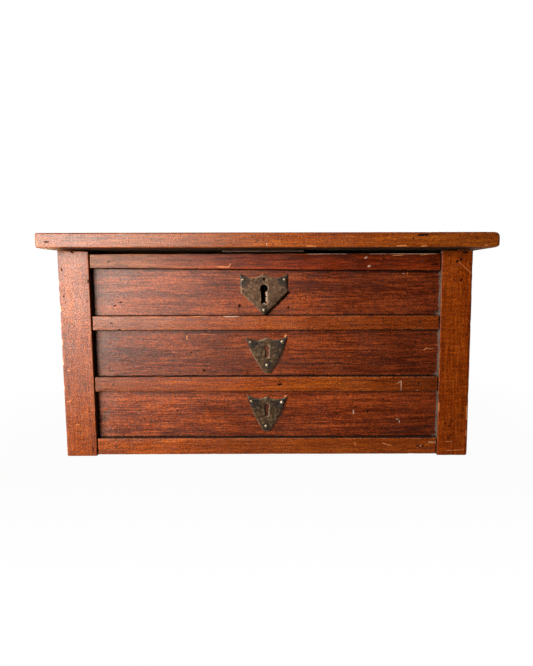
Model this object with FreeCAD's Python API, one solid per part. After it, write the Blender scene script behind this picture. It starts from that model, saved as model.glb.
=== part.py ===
"""Table-top chest with a lift-up lid, a front that imitates drawers, a box lock and butt hinges.

Millimetres. The origin lies on the floor under the middle of the lid: +X runs along the front to
the right, +Y from the front to the back and +Z up. The lid is shut and the lock is open.
"""
import FreeCAD, Part
import os

os.makedirs("parts", exist_ok=True)

# Carcass of dovetailed boards
carcass_width = 475.0
carcass_depth = 278.0
front_thickness = 18.0
back_thickness = 14.0
side_thickness = 14.0
foot_gap = 1.5
tail_count = 4
tail_root_share = 0.50
tail_end_share = 0.66
bottom_thickness = 8.0
bottom_lift = 6.0
bottom_groove_depth = 5.0
bottom_clearance = 0.3

# Lid
lid_thickness = 17.2
lid_gap = 0.3
lid_front_overhang = 22.0
lid_back_overhang = 16.0
lid_left_overhang = 14.1
lid_right_overhang = 22.1
lid_corner_radius = 3.0
lid_arris_radius = 2.0
lid_arris_limit_share = 0.9

# Stiles and rails that divide the front into three false drawers
stile_width = 35.6
stile_thickness = 9.0
stile_top_drop = 1.7
rail_thickness = 8.0
rail_end_gap = 0.8
strip_arris_radius = 0.8
bottom_rail_height = 19.6
lower_panel_height = 56.6
lower_rail_height = 17.3
middle_panel_height = 55.2
upper_rail_height = 16.6
upper_panel_height = 53.4
top_rail_height = 17.9
top_rail_taper = 4.0
front_reveal = 4.6

# Cut nails that hold the stiles and rails
nail_head_radius = 1.4
nail_head_depth = 0.9
nail_shank_radius = 0.8
nail_length = 15.0
nail_fit = 0.05
rail_nail_inset = 23.0
stile_nail_height_shares = (0.07, 0.50, 0.93)

# Brass escutcheons
escutcheon_thickness = 1.4
top_escutcheon_width = 55.6
top_escutcheon_drop = 4.7
top_escutcheon_toe_gap = 0.4
top_escutcheon_shift = -2.3
middle_escutcheon_width = 49.4
middle_escutcheon_drop = 8.0
middle_escutcheon_toe_gap = 2.7
middle_escutcheon_shift = 0.5
middle_escutcheon_tilt = 1.3
bottom_escutcheon_width = 47.6
bottom_escutcheon_drop = 6.0
bottom_escutcheon_toe_gap = 6.1
bottom_escutcheon_shift = -0.5
bottom_escutcheon_tilt = -2.4
scallop_place_share = 0.235
scallop_depth_share = 0.105
shoulder_place_share = 0.485
shoulder_drop_share = 0.45
shield_peak_share = 0.03
shield_side_shares = (0.335, 0.50)
shield_toe_shares = (0.08, 0.96)
top_nail_shares = ((-0.435, 0.15), (0.435, 0.15), (0.0, 0.877))
middle_nail_shares = ((-0.385, 0.15), (0.385, 0.15), (0.0, 0.775))
bottom_nail_shares = ((-0.375, 0.18), (0.375, 0.18), (0.0, 0.85))
dome_radius = 2.65
dome_height = 1.5
tack_shank_radius = 0.9
tack_bite_share = 0.8
tack_fit = 0.05
empty_hole_radius = 1.1
empty_hole_bite_share = 0.7
empty_hole_drop_share = 0.13

# Keyholes, real in the top escutcheon and blind in the two below
keyhole_radius = 4.7
keyhole_slot_width = 7.0
keyhole_drop_share = 0.36
keyhole_slot_share = 0.362
keyhole_relief = 0.3
blind_key_radius = 3.0
blind_key_slot_width = 4.2
blind_key_drop_share = 0.305
blind_key_slot_share = 0.26

# Box lock let into the inside of the front board
lock_plate_thickness = 1.5
lock_plate_flange = 7.0
lock_plate_toe = 6.0
lock_case_wall = 1.5
lock_case_toe = 8.9
lock_cheek = 5.0
lock_fit = 0.2
selvedge_thickness = 2.0
bolt_travel = 8.0
bolt_rest_gap = 1.5
bolt_end_gap = 1.0
bolt_bar_height = 8.0
bolt_bar_gap = 1.0
bolt_bar_tail = 14.5
bolt_upright_width = 5.0
bolt_finger_length = 9.5
bolt_finger_height = 4.6
talon_width = 16.0
talon_ward_gap = 2.2
talon_notch_radius = 3.5
guide_radius = 2.0
guide_clearance = 0.3
left_guide_share = -0.45
right_guide_share = 0.35
spring_thickness = 0.8
spring_width = 6.0
spring_bend_radius = 9.0
spring_foot_height = 8.0
spring_tip_gap = 3.5
spring_gap = 0.3
ward_radius = 10.0
ward_wall = 1.0
ward_height = 5.0
ward_mouth_clearance = 1.0
lock_screw_height_shares = (0.15, 0.85)

# Link plate under the lid with two staples for the bolt
link_plate_length = 94.0
link_plate_setback = 2.0
link_plate_gap = 1.4
staple_spread = 40.0
staple_thickness = 3.0
staple_drop = 14.0
staple_side_gap = 1.5
staple_leg = 1.75
staple_hole_height = 7.0
staple_hole_lift = 2.0
staple_clearance = 1.0
finger_clearance = 0.7
link_screw_place_shares = (-0.42, 0.42)
link_screw_depth_shares = (0.25, 0.75)

# Butt hinges on the back board
hinge_inset = 87.5
hinge_length = 60.0
hinge_leaf_margin = 2.3
hinge_leaf_thickness = 2.0
hinge_barrel_radius = 3.5
hinge_back_gap = 0.3
hinge_knuckles = 5
knuckle_gap = 0.3
hinge_groove_clearance = 0.4
pin_radius = 1.5
pin_clearance = 0.05
pin_head_radius = 2.4
pin_head_height = 1.2
hinge_screw_shares = (-0.36, 0.0, 0.36)

# Countersunk wood screws
screw_head_radius = 2.6
screw_shank_radius = 1.3
screw_head_depth = 1.3
screw_length = 11.0
screw_fit = 0.05
screw_slot_width = 0.8
screw_slot_depth = 0.6

# One overrun for every cut
overrun = 1.0

# Places worked out from the sizes above
X_AXIS = FreeCAD.Vector(1, 0, 0)
Y_AXIS = FreeCAD.Vector(0, 1, 0)
Z_AXIS = FreeCAD.Vector(0, 0, 1)
lid_length = carcass_width + lid_left_overhang + lid_right_overhang
lid_depth = carcass_depth + lid_front_overhang + lid_back_overhang
left_face = lid_left_overhang - lid_length / 2
right_face = left_face + carcass_width
middle_x = (left_face + right_face) / 2
stile_face = lid_front_overhang - lid_depth / 2
back_face = stile_face + carcass_depth
rail_face = stile_face + stile_thickness - rail_thickness
panel_face = stile_face + stile_thickness
front_inside = panel_face + front_thickness
back_inside = back_face - back_thickness
left_inside = left_face + side_thickness
right_inside = right_face - side_thickness
left_opening = left_face + stile_width
right_opening = right_face - stile_width

bottom_rail_top = foot_gap + bottom_rail_height
lower_rail_foot = bottom_rail_top + lower_panel_height
lower_rail_top = lower_rail_foot + lower_rail_height
upper_rail_foot = lower_rail_top + middle_panel_height
upper_rail_top = upper_rail_foot + upper_rail_height
top_rail_foot = upper_rail_top + upper_panel_height
front_top = top_rail_foot + top_rail_height
rail_levels = {
    "bottom_rail": (foot_gap, bottom_rail_top),
    "lower_rail": (lower_rail_foot, lower_rail_top),
    "upper_rail": (upper_rail_foot, upper_rail_top),
    "top_rail": (top_rail_foot, front_top),
}
rail_tapers = {"bottom_rail": 0, "lower_rail": 0, "upper_rail": 0, "top_rail": top_rail_taper}
carcass_height = front_top + front_reveal
stile_top = carcass_height - stile_top_drop
lid_underside = carcass_height + lid_gap
lid_top = lid_underside + lid_thickness

top_escutcheon_height = upper_panel_height - top_escutcheon_drop - top_escutcheon_toe_gap
middle_escutcheon_height = middle_panel_height - middle_escutcheon_drop - middle_escutcheon_toe_gap
bottom_escutcheon_height = lower_panel_height - bottom_escutcheon_drop - bottom_escutcheon_toe_gap
plate_face = panel_face - escutcheon_thickness
tack_length = escutcheon_thickness + tack_bite_share * lock_cheek
empty_hole_depth = escutcheon_thickness + empty_hole_bite_share * lock_cheek

lock_x = middle_x + top_escutcheon_shift
keyhole_z = top_rail_foot - top_escutcheon_drop - keyhole_drop_share * top_escutcheon_height
keyhole_slot_length = keyhole_slot_share * top_escutcheon_height
case_top = front_top - selvedge_thickness
case_foot = keyhole_z - keyhole_slot_length - lock_case_toe
lock_plate_foot = case_foot - lock_plate_toe
case_front = panel_face + lock_cheek
case_inside = case_front + lock_case_wall
case_middle = (case_inside + front_inside) / 2
lock_back = front_inside + lock_plate_thickness
link_underside = front_top + link_plate_gap
link_front = rail_face + link_plate_setback
staple_width = front_inside - case_inside - 2 * staple_side_gap
staple_hole_width = staple_width - 2 * staple_leg
staple_foot = link_underside - staple_drop
staple_places = (lock_x - staple_spread / 2, lock_x + staple_spread / 2)
finger_foot = staple_foot + staple_hole_lift + (staple_hole_height - bolt_finger_height) / 2
bar_top = staple_foot - bolt_bar_gap
bar_foot = bar_top - bolt_bar_height
talon_z = keyhole_z + ward_radius + talon_ward_gap
guide_z = (bar_top + bar_foot) / 2
guide_places = (lock_x + left_guide_share * staple_spread, lock_x + right_guide_share * staple_spread)
bolt_thickness = staple_hole_width - 2 * finger_clearance
bolt_low_y = case_middle - bolt_thickness / 2
bolt_high_y = case_middle + bolt_thickness / 2
finger_reach = staple_thickness / 2 + bolt_rest_gap + bolt_finger_length
bolt_left = staple_places[0] - finger_reach - bolt_upright_width
bolt_right = staple_places[1] - finger_reach + bolt_bar_tail
lock_case_width = 2 * (lock_x - bolt_left + bolt_end_gap + lock_case_wall)
lock_width = lock_case_width + 2 * lock_plate_flange
spring_tip = lock_x + talon_width / 2 + bolt_travel + spring_tip_gap

hinge_y = back_face + hinge_barrel_radius + hinge_back_gap
hinge_z = carcass_height + lid_gap / 2
hinge_places = {"left": left_face + hinge_inset, "right": right_face - hinge_inset}
leaf_front = back_inside + hinge_leaf_margin
leaf_screw_y = (leaf_front + back_face) / 2


def block(low_x, high_x, low_y, high_y, low_z, high_z):
    """A box between two corners."""
    corner = FreeCAD.Vector(low_x, low_y, low_z)
    return Part.makeBox(high_x - low_x, high_y - low_y, high_z - low_z, corner)


def rod(radius, length, x, y, z, axis):
    """A round bar that starts at a point and runs along an axis."""
    return Part.makeCylinder(radius, length, FreeCAD.Vector(x, y, z), axis)


def slab(points, low_y, high_y):
    """A plate of straight edges, drawn as (x, z) points and standing between two depths."""
    corners = [FreeCAD.Vector(x, low_y, z) for x, z in points]
    wire = Part.makePolygon(corners + corners[:1])
    return Part.Face(wire).extrude(FreeCAD.Vector(0, high_y - low_y, 0))


def cut_all(shape, tools):
    """A shape with every tool taken out of it."""
    for tool in tools:
        shape = shape.cut(tool)
    return shape


def rounded_long_front_edges(shape, face, radius):
    """A strip with the edges of its front face softened."""
    edges = [edge for edge in shape.Edges if edge.BoundBox.YMax < face + radius]
    return shape.makeFillet(radius, edges)


def front_corner(side_low, side_high):
    """The block where a side board meets the front board."""
    return block(side_low, side_high, panel_face, front_inside, foot_gap, front_top)


def back_corner(side_low, side_high):
    """The block where a side board meets the back board."""
    return block(side_low, side_high, back_inside, back_face, foot_gap, carcass_height)


def tails(side_low, side_high, root_y, end_y, low_z, high_z):
    """The dovetails on one end of a side board, widest at the board's end."""
    pitch = (high_z - low_z) / tail_count
    made = []
    for index in range(tail_count):
        centre = low_z + pitch * (index + 0.5)
        root = pitch * tail_root_share / 2
        end = pitch * tail_end_share / 2
        corners = [
            FreeCAD.Vector(side_low, root_y, centre - root),
            FreeCAD.Vector(side_low, end_y, centre - end),
            FreeCAD.Vector(side_low, end_y, centre + end),
            FreeCAD.Vector(side_low, root_y, centre + root),
        ]
        face = Part.Face(Part.makePolygon(corners + corners[:1]))
        made.append(face.extrude(FreeCAD.Vector(side_high - side_low, 0, 0)))
    return made


def front_tails(side_low, side_high):
    """The dovetails that lock a side board into the front board."""
    return tails(side_low, side_high, front_inside, panel_face, foot_gap, front_top)


def back_tails(side_low, side_high):
    """The dovetails that lock a side board into the back board."""
    return tails(side_low, side_high, back_inside, back_face, foot_gap, carcass_height)


def bottom_panel(grow):
    """The bottom board's space in the grooves, grown by a clearance."""
    reach = bottom_groove_depth - bottom_clearance + grow
    return block(
        left_inside - reach, right_inside + reach, front_inside - reach, back_inside + reach,
        bottom_lift - grow, bottom_lift + bottom_thickness + grow)


def side_board(side_low, side_high):
    """A side board with tails at both ends and a groove for the bottom."""
    board = block(side_low, side_high, panel_face, back_face, 0, carcass_height)
    front_pins = cut_all(front_corner(side_low, side_high), front_tails(side_low, side_high))
    back_pins = cut_all(back_corner(side_low, side_high), back_tails(side_low, side_high))
    return cut_all(board, [front_pins, back_pins, bottom_panel(bottom_clearance)])


def keyhole(radius, slot_width, slot_length, x, z, low_y, high_y, relief):
    """A keyhole's space: a round eye with a slot below it."""
    eye = rod(radius + relief, high_y - low_y, x, low_y, z, Y_AXIS)
    half = slot_width / 2 + relief
    return eye.fuse(block(x - half, x + half, low_y, high_y, z - slot_length - relief, z))


def front_keyhole(low_y, high_y, relief):
    """The real keyhole between two depths."""
    return keyhole(
        keyhole_radius, keyhole_slot_width, keyhole_slot_length, lock_x, keyhole_z,
        low_y, high_y, relief)


def nail(x, z, face, fit):
    """A flush cut nail driven in from the front, or its hole when fit is more than zero."""
    head = rod(nail_head_radius + fit, nail_head_depth + fit, x, face, z, Y_AXIS)
    return head.fuse(rod(nail_shank_radius + fit, nail_length + fit, x, face, z, Y_AXIS))


def rail_nail_places():
    """Where the rails are nailed, near each end at mid height."""
    places = []
    for low_z, high_z in rail_levels.values():
        middle_z = (low_z + high_z) / 2
        places.append((left_opening + rail_nail_inset, middle_z))
        places.append((right_opening - rail_nail_inset, middle_z))
    return places


def stile_nail_places():
    """Where the stiles are nailed, along their middle."""
    places = []
    for x in (left_face + stile_width / 2, right_face - stile_width / 2):
        for share in stile_nail_height_shares:
            places.append((x, stile_top * share))
    return places


def stile(low_x, high_x):
    """A stile planted on the front board, standing on the floor."""
    strip = block(low_x, high_x, stile_face, panel_face, 0, stile_top)
    strip = rounded_long_front_edges(strip, stile_face, strip_arris_radius)
    return cut_all(strip, [nail(x, z, stile_face, nail_fit) for x, z in stile_nail_places()])


def rail(low_z, high_z, taper):
    """A rail planted on the front board between the stiles, deeper to the right by its taper."""
    low_x = left_opening + rail_end_gap
    high_x = right_opening - rail_end_gap
    outline = (
        (low_x, low_z + taper / 2), (high_x, low_z - taper / 2), (high_x, high_z), (low_x, high_z))
    strip = slab(outline, rail_face, panel_face)
    strip = rounded_long_front_edges(strip, rail_face, strip_arris_radius)
    return cut_all(strip, [nail(x, z, rail_face, nail_fit) for x, z in rail_nail_places()])


class Escutcheon:
    """A pierced plate on the front, drawn flat about the middle of its top edge."""

    def __init__(self, width, height, top_z, shift, tilt, nail_shares):
        self.width = width
        self.height = height
        self.top_z = top_z
        self.x = middle_x + shift
        self.tilt = tilt
        self.nail_shares = nail_shares

    def point(self, across_share, down_share):
        """A point of the outline, from shares of the plate's width and height."""
        return FreeCAD.Vector(across_share * self.width, plate_face, -down_share * self.height)

    def set_in_place(self, shape):
        """A flat-drawn shape turned by the plate's tilt and moved to its place on the front."""
        middle = FreeCAD.Vector(0, 0, -self.height / 2)
        shape = shape.copy()
        shape.rotate(middle, Y_AXIS, -self.tilt)
        shape.translate(FreeCAD.Vector(self.x, 0, self.top_z))
        return shape

    def scallops(self, peak_share):
        """The two hollows along the top edge, from ear to peak to ear."""
        left_dip = self.point(-scallop_place_share, scallop_depth_share)
        right_dip = self.point(scallop_place_share, scallop_depth_share)
        peak = self.point(0, peak_share)
        left = Part.Arc(self.point(-0.5, 0), left_dip, peak).toShape()
        right = Part.Arc(peak, right_dip, self.point(0.5, 0)).toShape()
        return [left, right]

    def solid(self, edges):
        """The plate from its outline edges."""
        face = Part.Face(Part.Wire(Part.__sortEdges__(edges)))
        return face.extrude(FreeCAD.Vector(0, escutcheon_thickness, 0))

    def pointed_plate(self):
        """A square-shouldered plate that runs down to a point."""
        left_shoulder = self.point(-shoulder_place_share, shoulder_drop_share)
        right_shoulder = self.point(shoulder_place_share, shoulder_drop_share)
        tip = self.point(0, 1)
        sides = [
            Part.makeLine(self.point(0.5, 0), right_shoulder),
            Part.makeLine(right_shoulder, tip),
            Part.makeLine(tip, left_shoulder),
            Part.makeLine(left_shoulder, self.point(-0.5, 0)),
        ]
        return self.solid(self.scallops(0) + sides)

    def shield_plate(self):
        """A shield with bowed sides and a round toe."""
        side_x, side_z = shield_side_shares
        toe_x, toe_z = shield_toe_shares
        right_toe = self.point(toe_x, toe_z)
        left_toe = self.point(-toe_x, toe_z)
        sides = [
            Part.Arc(self.point(0.5, 0), self.point(side_x, side_z), right_toe).toShape(),
            Part.Arc(right_toe, self.point(0, 1), left_toe).toShape(),
            Part.Arc(left_toe, self.point(-side_x, side_z), self.point(-0.5, 0)).toShape(),
        ]
        return self.solid(self.scallops(shield_peak_share) + sides)

    def tacks(self, fit):
        """The plate's domed tacks, or their holes when fit is more than zero."""
        made = []
        for across, down in self.nail_shares:
            place = self.point(across, down)
            shank = rod(tack_shank_radius + fit, tack_length + fit, place.x, place.y, place.z, Y_AXIS)
            if fit == 0:
                shank = shank.fuse(dome(place))
            made.append(self.set_in_place(shank))
        return made

    def pierced(self, plate, holes):
        """The plate in place, with its tack holes and further holes through it."""
        return cut_all(self.set_in_place(plate), self.tacks(tack_fit) + holes)


def dome(place):
    """A tack's domed head, seated on a plate at a place."""
    ball_radius = (dome_radius ** 2 + dome_height ** 2) / (2 * dome_height)
    sunk = ball_radius - dome_height
    ball = Part.makeSphere(ball_radius, FreeCAD.Vector(place.x, place.y + sunk, place.z))
    cutter = rod(ball_radius + overrun, ball_radius + sunk + overrun, place.x, place.y, place.z, Y_AXIS)
    return ball.cut(cutter)


top_escutcheon = Escutcheon(
    top_escutcheon_width, top_escutcheon_height, top_rail_foot - top_escutcheon_drop,
    top_escutcheon_shift, 0, top_nail_shares)
middle_escutcheon = Escutcheon(
    middle_escutcheon_width, middle_escutcheon_height, upper_rail_foot - middle_escutcheon_drop,
    middle_escutcheon_shift, middle_escutcheon_tilt, middle_nail_shares)
bottom_escutcheon = Escutcheon(
    bottom_escutcheon_width, bottom_escutcheon_height, lower_rail_foot - bottom_escutcheon_drop,
    bottom_escutcheon_shift, bottom_escutcheon_tilt, bottom_nail_shares)
escutcheons = (top_escutcheon, middle_escutcheon, bottom_escutcheon)


def empty_tack_hole():
    """The hole that a lost tack left under the top plate's peak."""
    place = top_escutcheon.point(0, empty_hole_drop_share)
    hole = rod(
        empty_hole_radius, empty_hole_depth + overrun, place.x, place.y - overrun, place.z, Y_AXIS)
    return top_escutcheon.set_in_place(hole)


def top_plate():
    """The top escutcheon, with the real keyhole."""
    hole = front_keyhole(plate_face - overrun, panel_face + overrun, 0)
    return top_escutcheon.pierced(top_escutcheon.pointed_plate(), [hole, empty_tack_hole()])


def blind_plate(escutcheon):
    """A lower escutcheon, pierced with a keyhole that shows only wood behind it."""
    hole = keyhole(
        blind_key_radius, blind_key_slot_width, blind_key_slot_share * escutcheon.height,
        0, -blind_key_drop_share * escutcheon.height,
        plate_face - overrun, panel_face + overrun, 0)
    return escutcheon.pierced(escutcheon.shield_plate(), [escutcheon.set_in_place(hole)])


def screw(length, fit):
    """A countersunk screw pointing down from the origin, or its hole when fit is more than zero."""
    head = Part.makeCone(
        screw_shank_radius + fit, screw_head_radius + fit, screw_head_depth,
        FreeCAD.Vector(0, 0, -screw_head_depth))
    shank = rod(screw_shank_radius + fit, length + fit, 0, 0, -length - fit, Z_AXIS)
    made = head.fuse(shank)
    if fit == 0:
        half = screw_slot_width / 2
        reach = screw_head_radius + overrun
        made = made.cut(block(-reach, reach, -half, half, -screw_slot_depth, overrun))
    return made


def screw_at(x, y, z, turn, fit):
    """A screw at a place, turned about X from pointing down."""
    made = screw(screw_length, fit)
    made.rotate(FreeCAD.Vector(0, 0, 0), X_AXIS, turn)
    made.translate(FreeCAD.Vector(x, y, z))
    return made


def lock_screws(fit):
    """The screws that hold the lock's back plate to the front board."""
    across = (lock_width + lock_case_width) / 4
    made = []
    for x in (lock_x - across, lock_x + across):
        for share in lock_screw_height_shares:
            z = lock_plate_foot + share * (case_top - lock_plate_foot)
            made.append(screw_at(x, lock_back, z, -90, fit))
    return made


def link_screws(fit):
    """The screws that hold the link plate to the lid."""
    made = []
    for across in link_screw_place_shares:
        for deep in link_screw_depth_shares:
            x = lock_x + across * link_plate_length
            y = link_front + deep * (lock_back - link_front)
            made.append(screw_at(x, y, link_underside, 180, fit))
    return made


def hinge_screws(centre, z, turn, fit):
    """The screws of one hinge leaf."""
    places = [centre + share * hinge_length for share in hinge_screw_shares]
    return [screw_at(x, leaf_screw_y, z, turn, fit) for x in places]


def hinge_back_screws(fit):
    """The screws that go down into the back board."""
    made = []
    for centre in hinge_places.values():
        made += hinge_screws(centre, carcass_height, 0, fit)
    return made


def hinge_lid_screws(fit):
    """The screws that go up into the lid."""
    made = []
    for centre in hinge_places.values():
        made += hinge_screws(centre, lid_underside, 180, fit)
    return made


def leaf_plate(centre, low_z, high_z, rear_y):
    """The flat of a hinge leaf, or its mortise."""
    half = hinge_length / 2
    return block(centre - half, centre + half, leaf_front, rear_y, low_z, high_z)


def hinge_leaf(centre, low_z, high_z, own_parity, screws):
    """A hinge leaf with its knuckles on the barrel, every other one along it."""
    pitch = hinge_length / hinge_knuckles
    leaf = leaf_plate(centre, low_z, high_z, hinge_y)
    gaps = []
    for index in range(hinge_knuckles):
        start = centre - hinge_length / 2 + index * pitch
        if index % 2 == own_parity:
            low = start + knuckle_gap / 2
            leaf = leaf.fuse(rod(hinge_barrel_radius, pitch - knuckle_gap, low, hinge_y, hinge_z, X_AXIS))
        else:
            radius = hinge_barrel_radius + knuckle_gap
            gaps.append(rod(radius, pitch + knuckle_gap, start - knuckle_gap / 2, hinge_y, hinge_z, X_AXIS))
    bore = rod(
        pin_radius + pin_clearance, hinge_length + 2 * overrun,
        centre - hinge_length / 2 - overrun, hinge_y, hinge_z, X_AXIS)
    return cut_all(leaf, gaps + [bore] + screws)


def hinge_back_leaf(centre):
    """The leaf let into the top edge of the back board, with the outer knuckles."""
    return hinge_leaf(centre, carcass_height - hinge_leaf_thickness, carcass_height, 0,
                      hinge_back_screws(screw_fit))


def hinge_lid_leaf(centre):
    """The leaf let into the underside of the lid, with the inner knuckles."""
    return hinge_leaf(centre, lid_underside, lid_underside + hinge_leaf_thickness, 1,
                      hinge_lid_screws(screw_fit))


def hinge_pin(centre):
    """The pin through a hinge's knuckles, riveted over at both ends."""
    reach = hinge_length / 2
    pin = rod(pin_radius, 2 * reach, centre - reach, hinge_y, hinge_z, X_AXIS)
    for start in (centre - reach - pin_head_height, centre + reach):
        pin = pin.fuse(rod(pin_head_radius, pin_head_height, start, hinge_y, hinge_z, X_AXIS))
    return pin


def hinge_groove(centre):
    """The groove under the lid that clears a hinge's barrel and pin heads."""
    reach = hinge_length / 2 + pin_head_height + hinge_groove_clearance
    radius = hinge_barrel_radius + hinge_groove_clearance
    return rod(radius, 2 * reach, centre - reach, hinge_y, hinge_z, X_AXIS)


def lid():
    """The lid, with softened edges and its hinge mortises and grooves."""
    board = block(-lid_length / 2, lid_length / 2, -lid_depth / 2, lid_depth / 2, lid_underside, lid_top)
    uprights = [edge for edge in board.Edges if edge.BoundBox.ZLength > lid_thickness / 2]
    board = board.makeFillet(lid_corner_radius, uprights)
    level = [edge for edge in board.Edges if edge.BoundBox.ZLength < lid_thickness / 2]
    board = board.makeFillet(min(lid_arris_radius, lid_arris_limit_share * lid_corner_radius), level)
    cuts = hinge_lid_screws(screw_fit) + link_screws(screw_fit)
    for centre in hinge_places.values():
        cuts.append(hinge_groove(centre))
        cuts.append(leaf_plate(centre, lid_underside, lid_underside + hinge_leaf_thickness, hinge_y))
    return cut_all(board, cuts)


def back_board():
    """The back board, socketed for the side boards' tails and mortised for the hinges."""
    board = block(left_face, right_face, back_inside, back_face, foot_gap, carcass_height)
    cuts = back_tails(left_face, left_inside) + back_tails(right_inside, right_face)
    cuts.append(bottom_panel(bottom_clearance))
    cuts += hinge_back_screws(screw_fit)
    for centre in hinge_places.values():
        low_z = carcass_height - hinge_leaf_thickness
        cuts.append(leaf_plate(centre, low_z, carcass_height + overrun, back_face + overrun))
    return cut_all(board, cuts)


def lock_case_block(grow, low_y, high_y):
    """The outside of the lock's case between two depths, grown by a clearance."""
    half = lock_case_width / 2 + grow
    return block(lock_x - half, lock_x + half, low_y, high_y, case_foot - grow, case_top)


def selvedge_block(grow, top_z):
    """The selvedge's space along the front board's top edge."""
    half = lock_width / 2 + grow
    return block(lock_x - half, lock_x + half, case_front - grow, lock_back, case_top, top_z)


def front_board():
    """The front board, with sockets, nail holes, the lock's pocket and the keyhole."""
    board = block(left_face, right_face, panel_face, front_inside, foot_gap, front_top)
    cuts = front_tails(left_face, left_inside) + front_tails(right_inside, right_face)
    cuts.append(bottom_panel(bottom_clearance))
    cuts.append(lock_case_block(lock_fit, case_front - lock_fit, front_inside + overrun))
    cuts.append(selvedge_block(lock_fit, front_top + overrun))
    cuts.append(front_keyhole(panel_face - overrun, case_front, keyhole_relief))
    cuts.append(empty_tack_hole())
    cuts += lock_screws(screw_fit)
    for plate in escutcheons:
        cuts += plate.tacks(tack_fit)
    cuts += [nail(x, z, rail_face, nail_fit) for x, z in rail_nail_places()]
    cuts += [nail(x, z, stile_face, nail_fit) for x, z in stile_nail_places()]
    return cut_all(board, cuts)


def lock_case():
    """The lock's tray, open at the back and under the selvedge."""
    case = lock_case_block(0, case_front, front_inside)
    half = lock_case_width / 2 - lock_case_wall
    hollow = block(
        lock_x - half, lock_x + half, case_inside, front_inside + overrun,
        case_foot + lock_case_wall, case_top + overrun)
    hole = front_keyhole(case_front - overrun, case_inside + overrun, keyhole_relief)
    return cut_all(case, [hollow, hole])


def lock_back_plate():
    """The plate that closes the lock on the inside of the chest."""
    half = lock_width / 2
    plate = block(lock_x - half, lock_x + half, front_inside, lock_back, lock_plate_foot, case_top)
    return cut_all(plate, lock_screws(screw_fit))


def lock_selvedge():
    """The lock's top plate, slotted for the staples."""
    slots = []
    for x in staple_places:
        half_x = staple_thickness / 2 + staple_clearance
        half_y = staple_width / 2 + staple_clearance
        slots.append(block(
            x - half_x, x + half_x, case_middle - half_y, case_middle + half_y,
            case_top - overrun, front_top + overrun))
    return cut_all(selvedge_block(0, front_top), slots)


def bolt_hook(staple_x):
    """One of the bolt's hooks, whose finger points at a staple."""
    inner = staple_x - finger_reach
    tip = inner + bolt_finger_length
    outer = inner - bolt_upright_width
    finger_top = finger_foot + bolt_finger_height
    points = [
        (outer, bar_foot), (inner, bar_foot), (inner, finger_foot),
        (tip, finger_foot), (tip, finger_top), (outer, finger_top),
    ]
    return slab(points, bolt_low_y, bolt_high_y)


def guide_slot(x):
    """The slot in the bolt that slides along a guide stud."""
    radius = guide_radius + guide_clearance
    low_y = bolt_low_y - overrun
    length = bolt_thickness + 2 * overrun
    near = rod(radius, length, x, low_y, guide_z, Y_AXIS)
    far = rod(radius, length, x - bolt_travel, low_y, guide_z, Y_AXIS)
    middle = block(x - bolt_travel, x, low_y, low_y + length, guide_z - radius, guide_z + radius)
    return near.fuse(far).fuse(middle)


def lock_bolt():
    """The sliding bolt: a bar with two hooks, guide slots and a talon for the key."""
    bolt = block(bolt_left, bolt_right, bolt_low_y, bolt_high_y, bar_foot, bar_top)
    for x in staple_places:
        bolt = bolt.fuse(bolt_hook(x))
    half = talon_width / 2
    bolt = bolt.fuse(block(lock_x - half, lock_x + half, bolt_low_y, bolt_high_y, talon_z, bar_foot))
    notch = rod(
        talon_notch_radius, bolt_thickness + 2 * overrun, lock_x, bolt_low_y - overrun, talon_z, Y_AXIS)
    return cut_all(bolt, [notch] + [guide_slot(x) for x in guide_places]).removeSplitter()


def lock_guides():
    """The studs between the case and its back plate that guide the bolt."""
    length = front_inside - case_inside
    return [rod(guide_radius, length, x, case_inside, guide_z, Y_AXIS) for x in guide_places]


def lock_spring():
    """The leaf spring that bears on the bolt from below, footed on the case's right wall."""
    wall_x = lock_x + lock_case_width / 2 - lock_case_wall
    top_z = bar_foot - spring_gap
    bend_z = top_z - spring_bend_radius
    inner_radius = spring_bend_radius - spring_thickness
    low_y = case_inside
    bend = rod(spring_bend_radius, spring_width, wall_x - spring_bend_radius, low_y, bend_z, Y_AXIS)
    hollow = rod(inner_radius, spring_width, wall_x - spring_bend_radius, low_y, bend_z, Y_AXIS)
    corner = block(
        wall_x - spring_bend_radius, wall_x, low_y, low_y + spring_width, bend_z, top_z)
    spring = bend.cut(hollow).common(corner)
    foot = block(
        wall_x - spring_thickness, wall_x, low_y, low_y + spring_width, bend_z - spring_foot_height, bend_z)
    arm = block(
        spring_tip, wall_x - spring_bend_radius, low_y, low_y + spring_width,
        top_z - spring_thickness, top_z)
    return spring.fuse(foot).fuse(arm).removeSplitter()


def lock_ward():
    """The horseshoe ward round the keyhole inside the case."""
    ring = rod(ward_radius, ward_height, lock_x, case_inside, keyhole_z, Y_AXIS)
    inside = rod(ward_radius - ward_wall, ward_height, lock_x, case_inside, keyhole_z, Y_AXIS)
    half = keyhole_slot_width / 2 + keyhole_relief + ward_mouth_clearance
    mouth = block(
        lock_x - half, lock_x + half, case_inside, case_inside + ward_height,
        keyhole_z - ward_radius - overrun, keyhole_z)
    return cut_all(ring, [inside, mouth])


def staple_tenon(x):
    """The end of a staple that is riveted through the link plate."""
    half_x = staple_thickness / 2
    half_y = staple_hole_width / 2
    return block(
        x - half_x, x + half_x, case_middle - half_y, case_middle + half_y, link_underside, lid_underside)


def link_staple(x):
    """A staple under the link plate, pierced for the bolt's finger."""
    half_x = staple_thickness / 2
    half_y = staple_width / 2
    body = block(
        x - half_x, x + half_x, case_middle - half_y, case_middle + half_y, staple_foot, link_underside)
    hole_half = staple_hole_width / 2
    hole_foot = staple_foot + staple_hole_lift
    hole = block(
        x - half_x - overrun, x + half_x + overrun, case_middle - hole_half, case_middle + hole_half,
        hole_foot, hole_foot + staple_hole_height)
    return body.cut(hole).fuse(staple_tenon(x))


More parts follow.
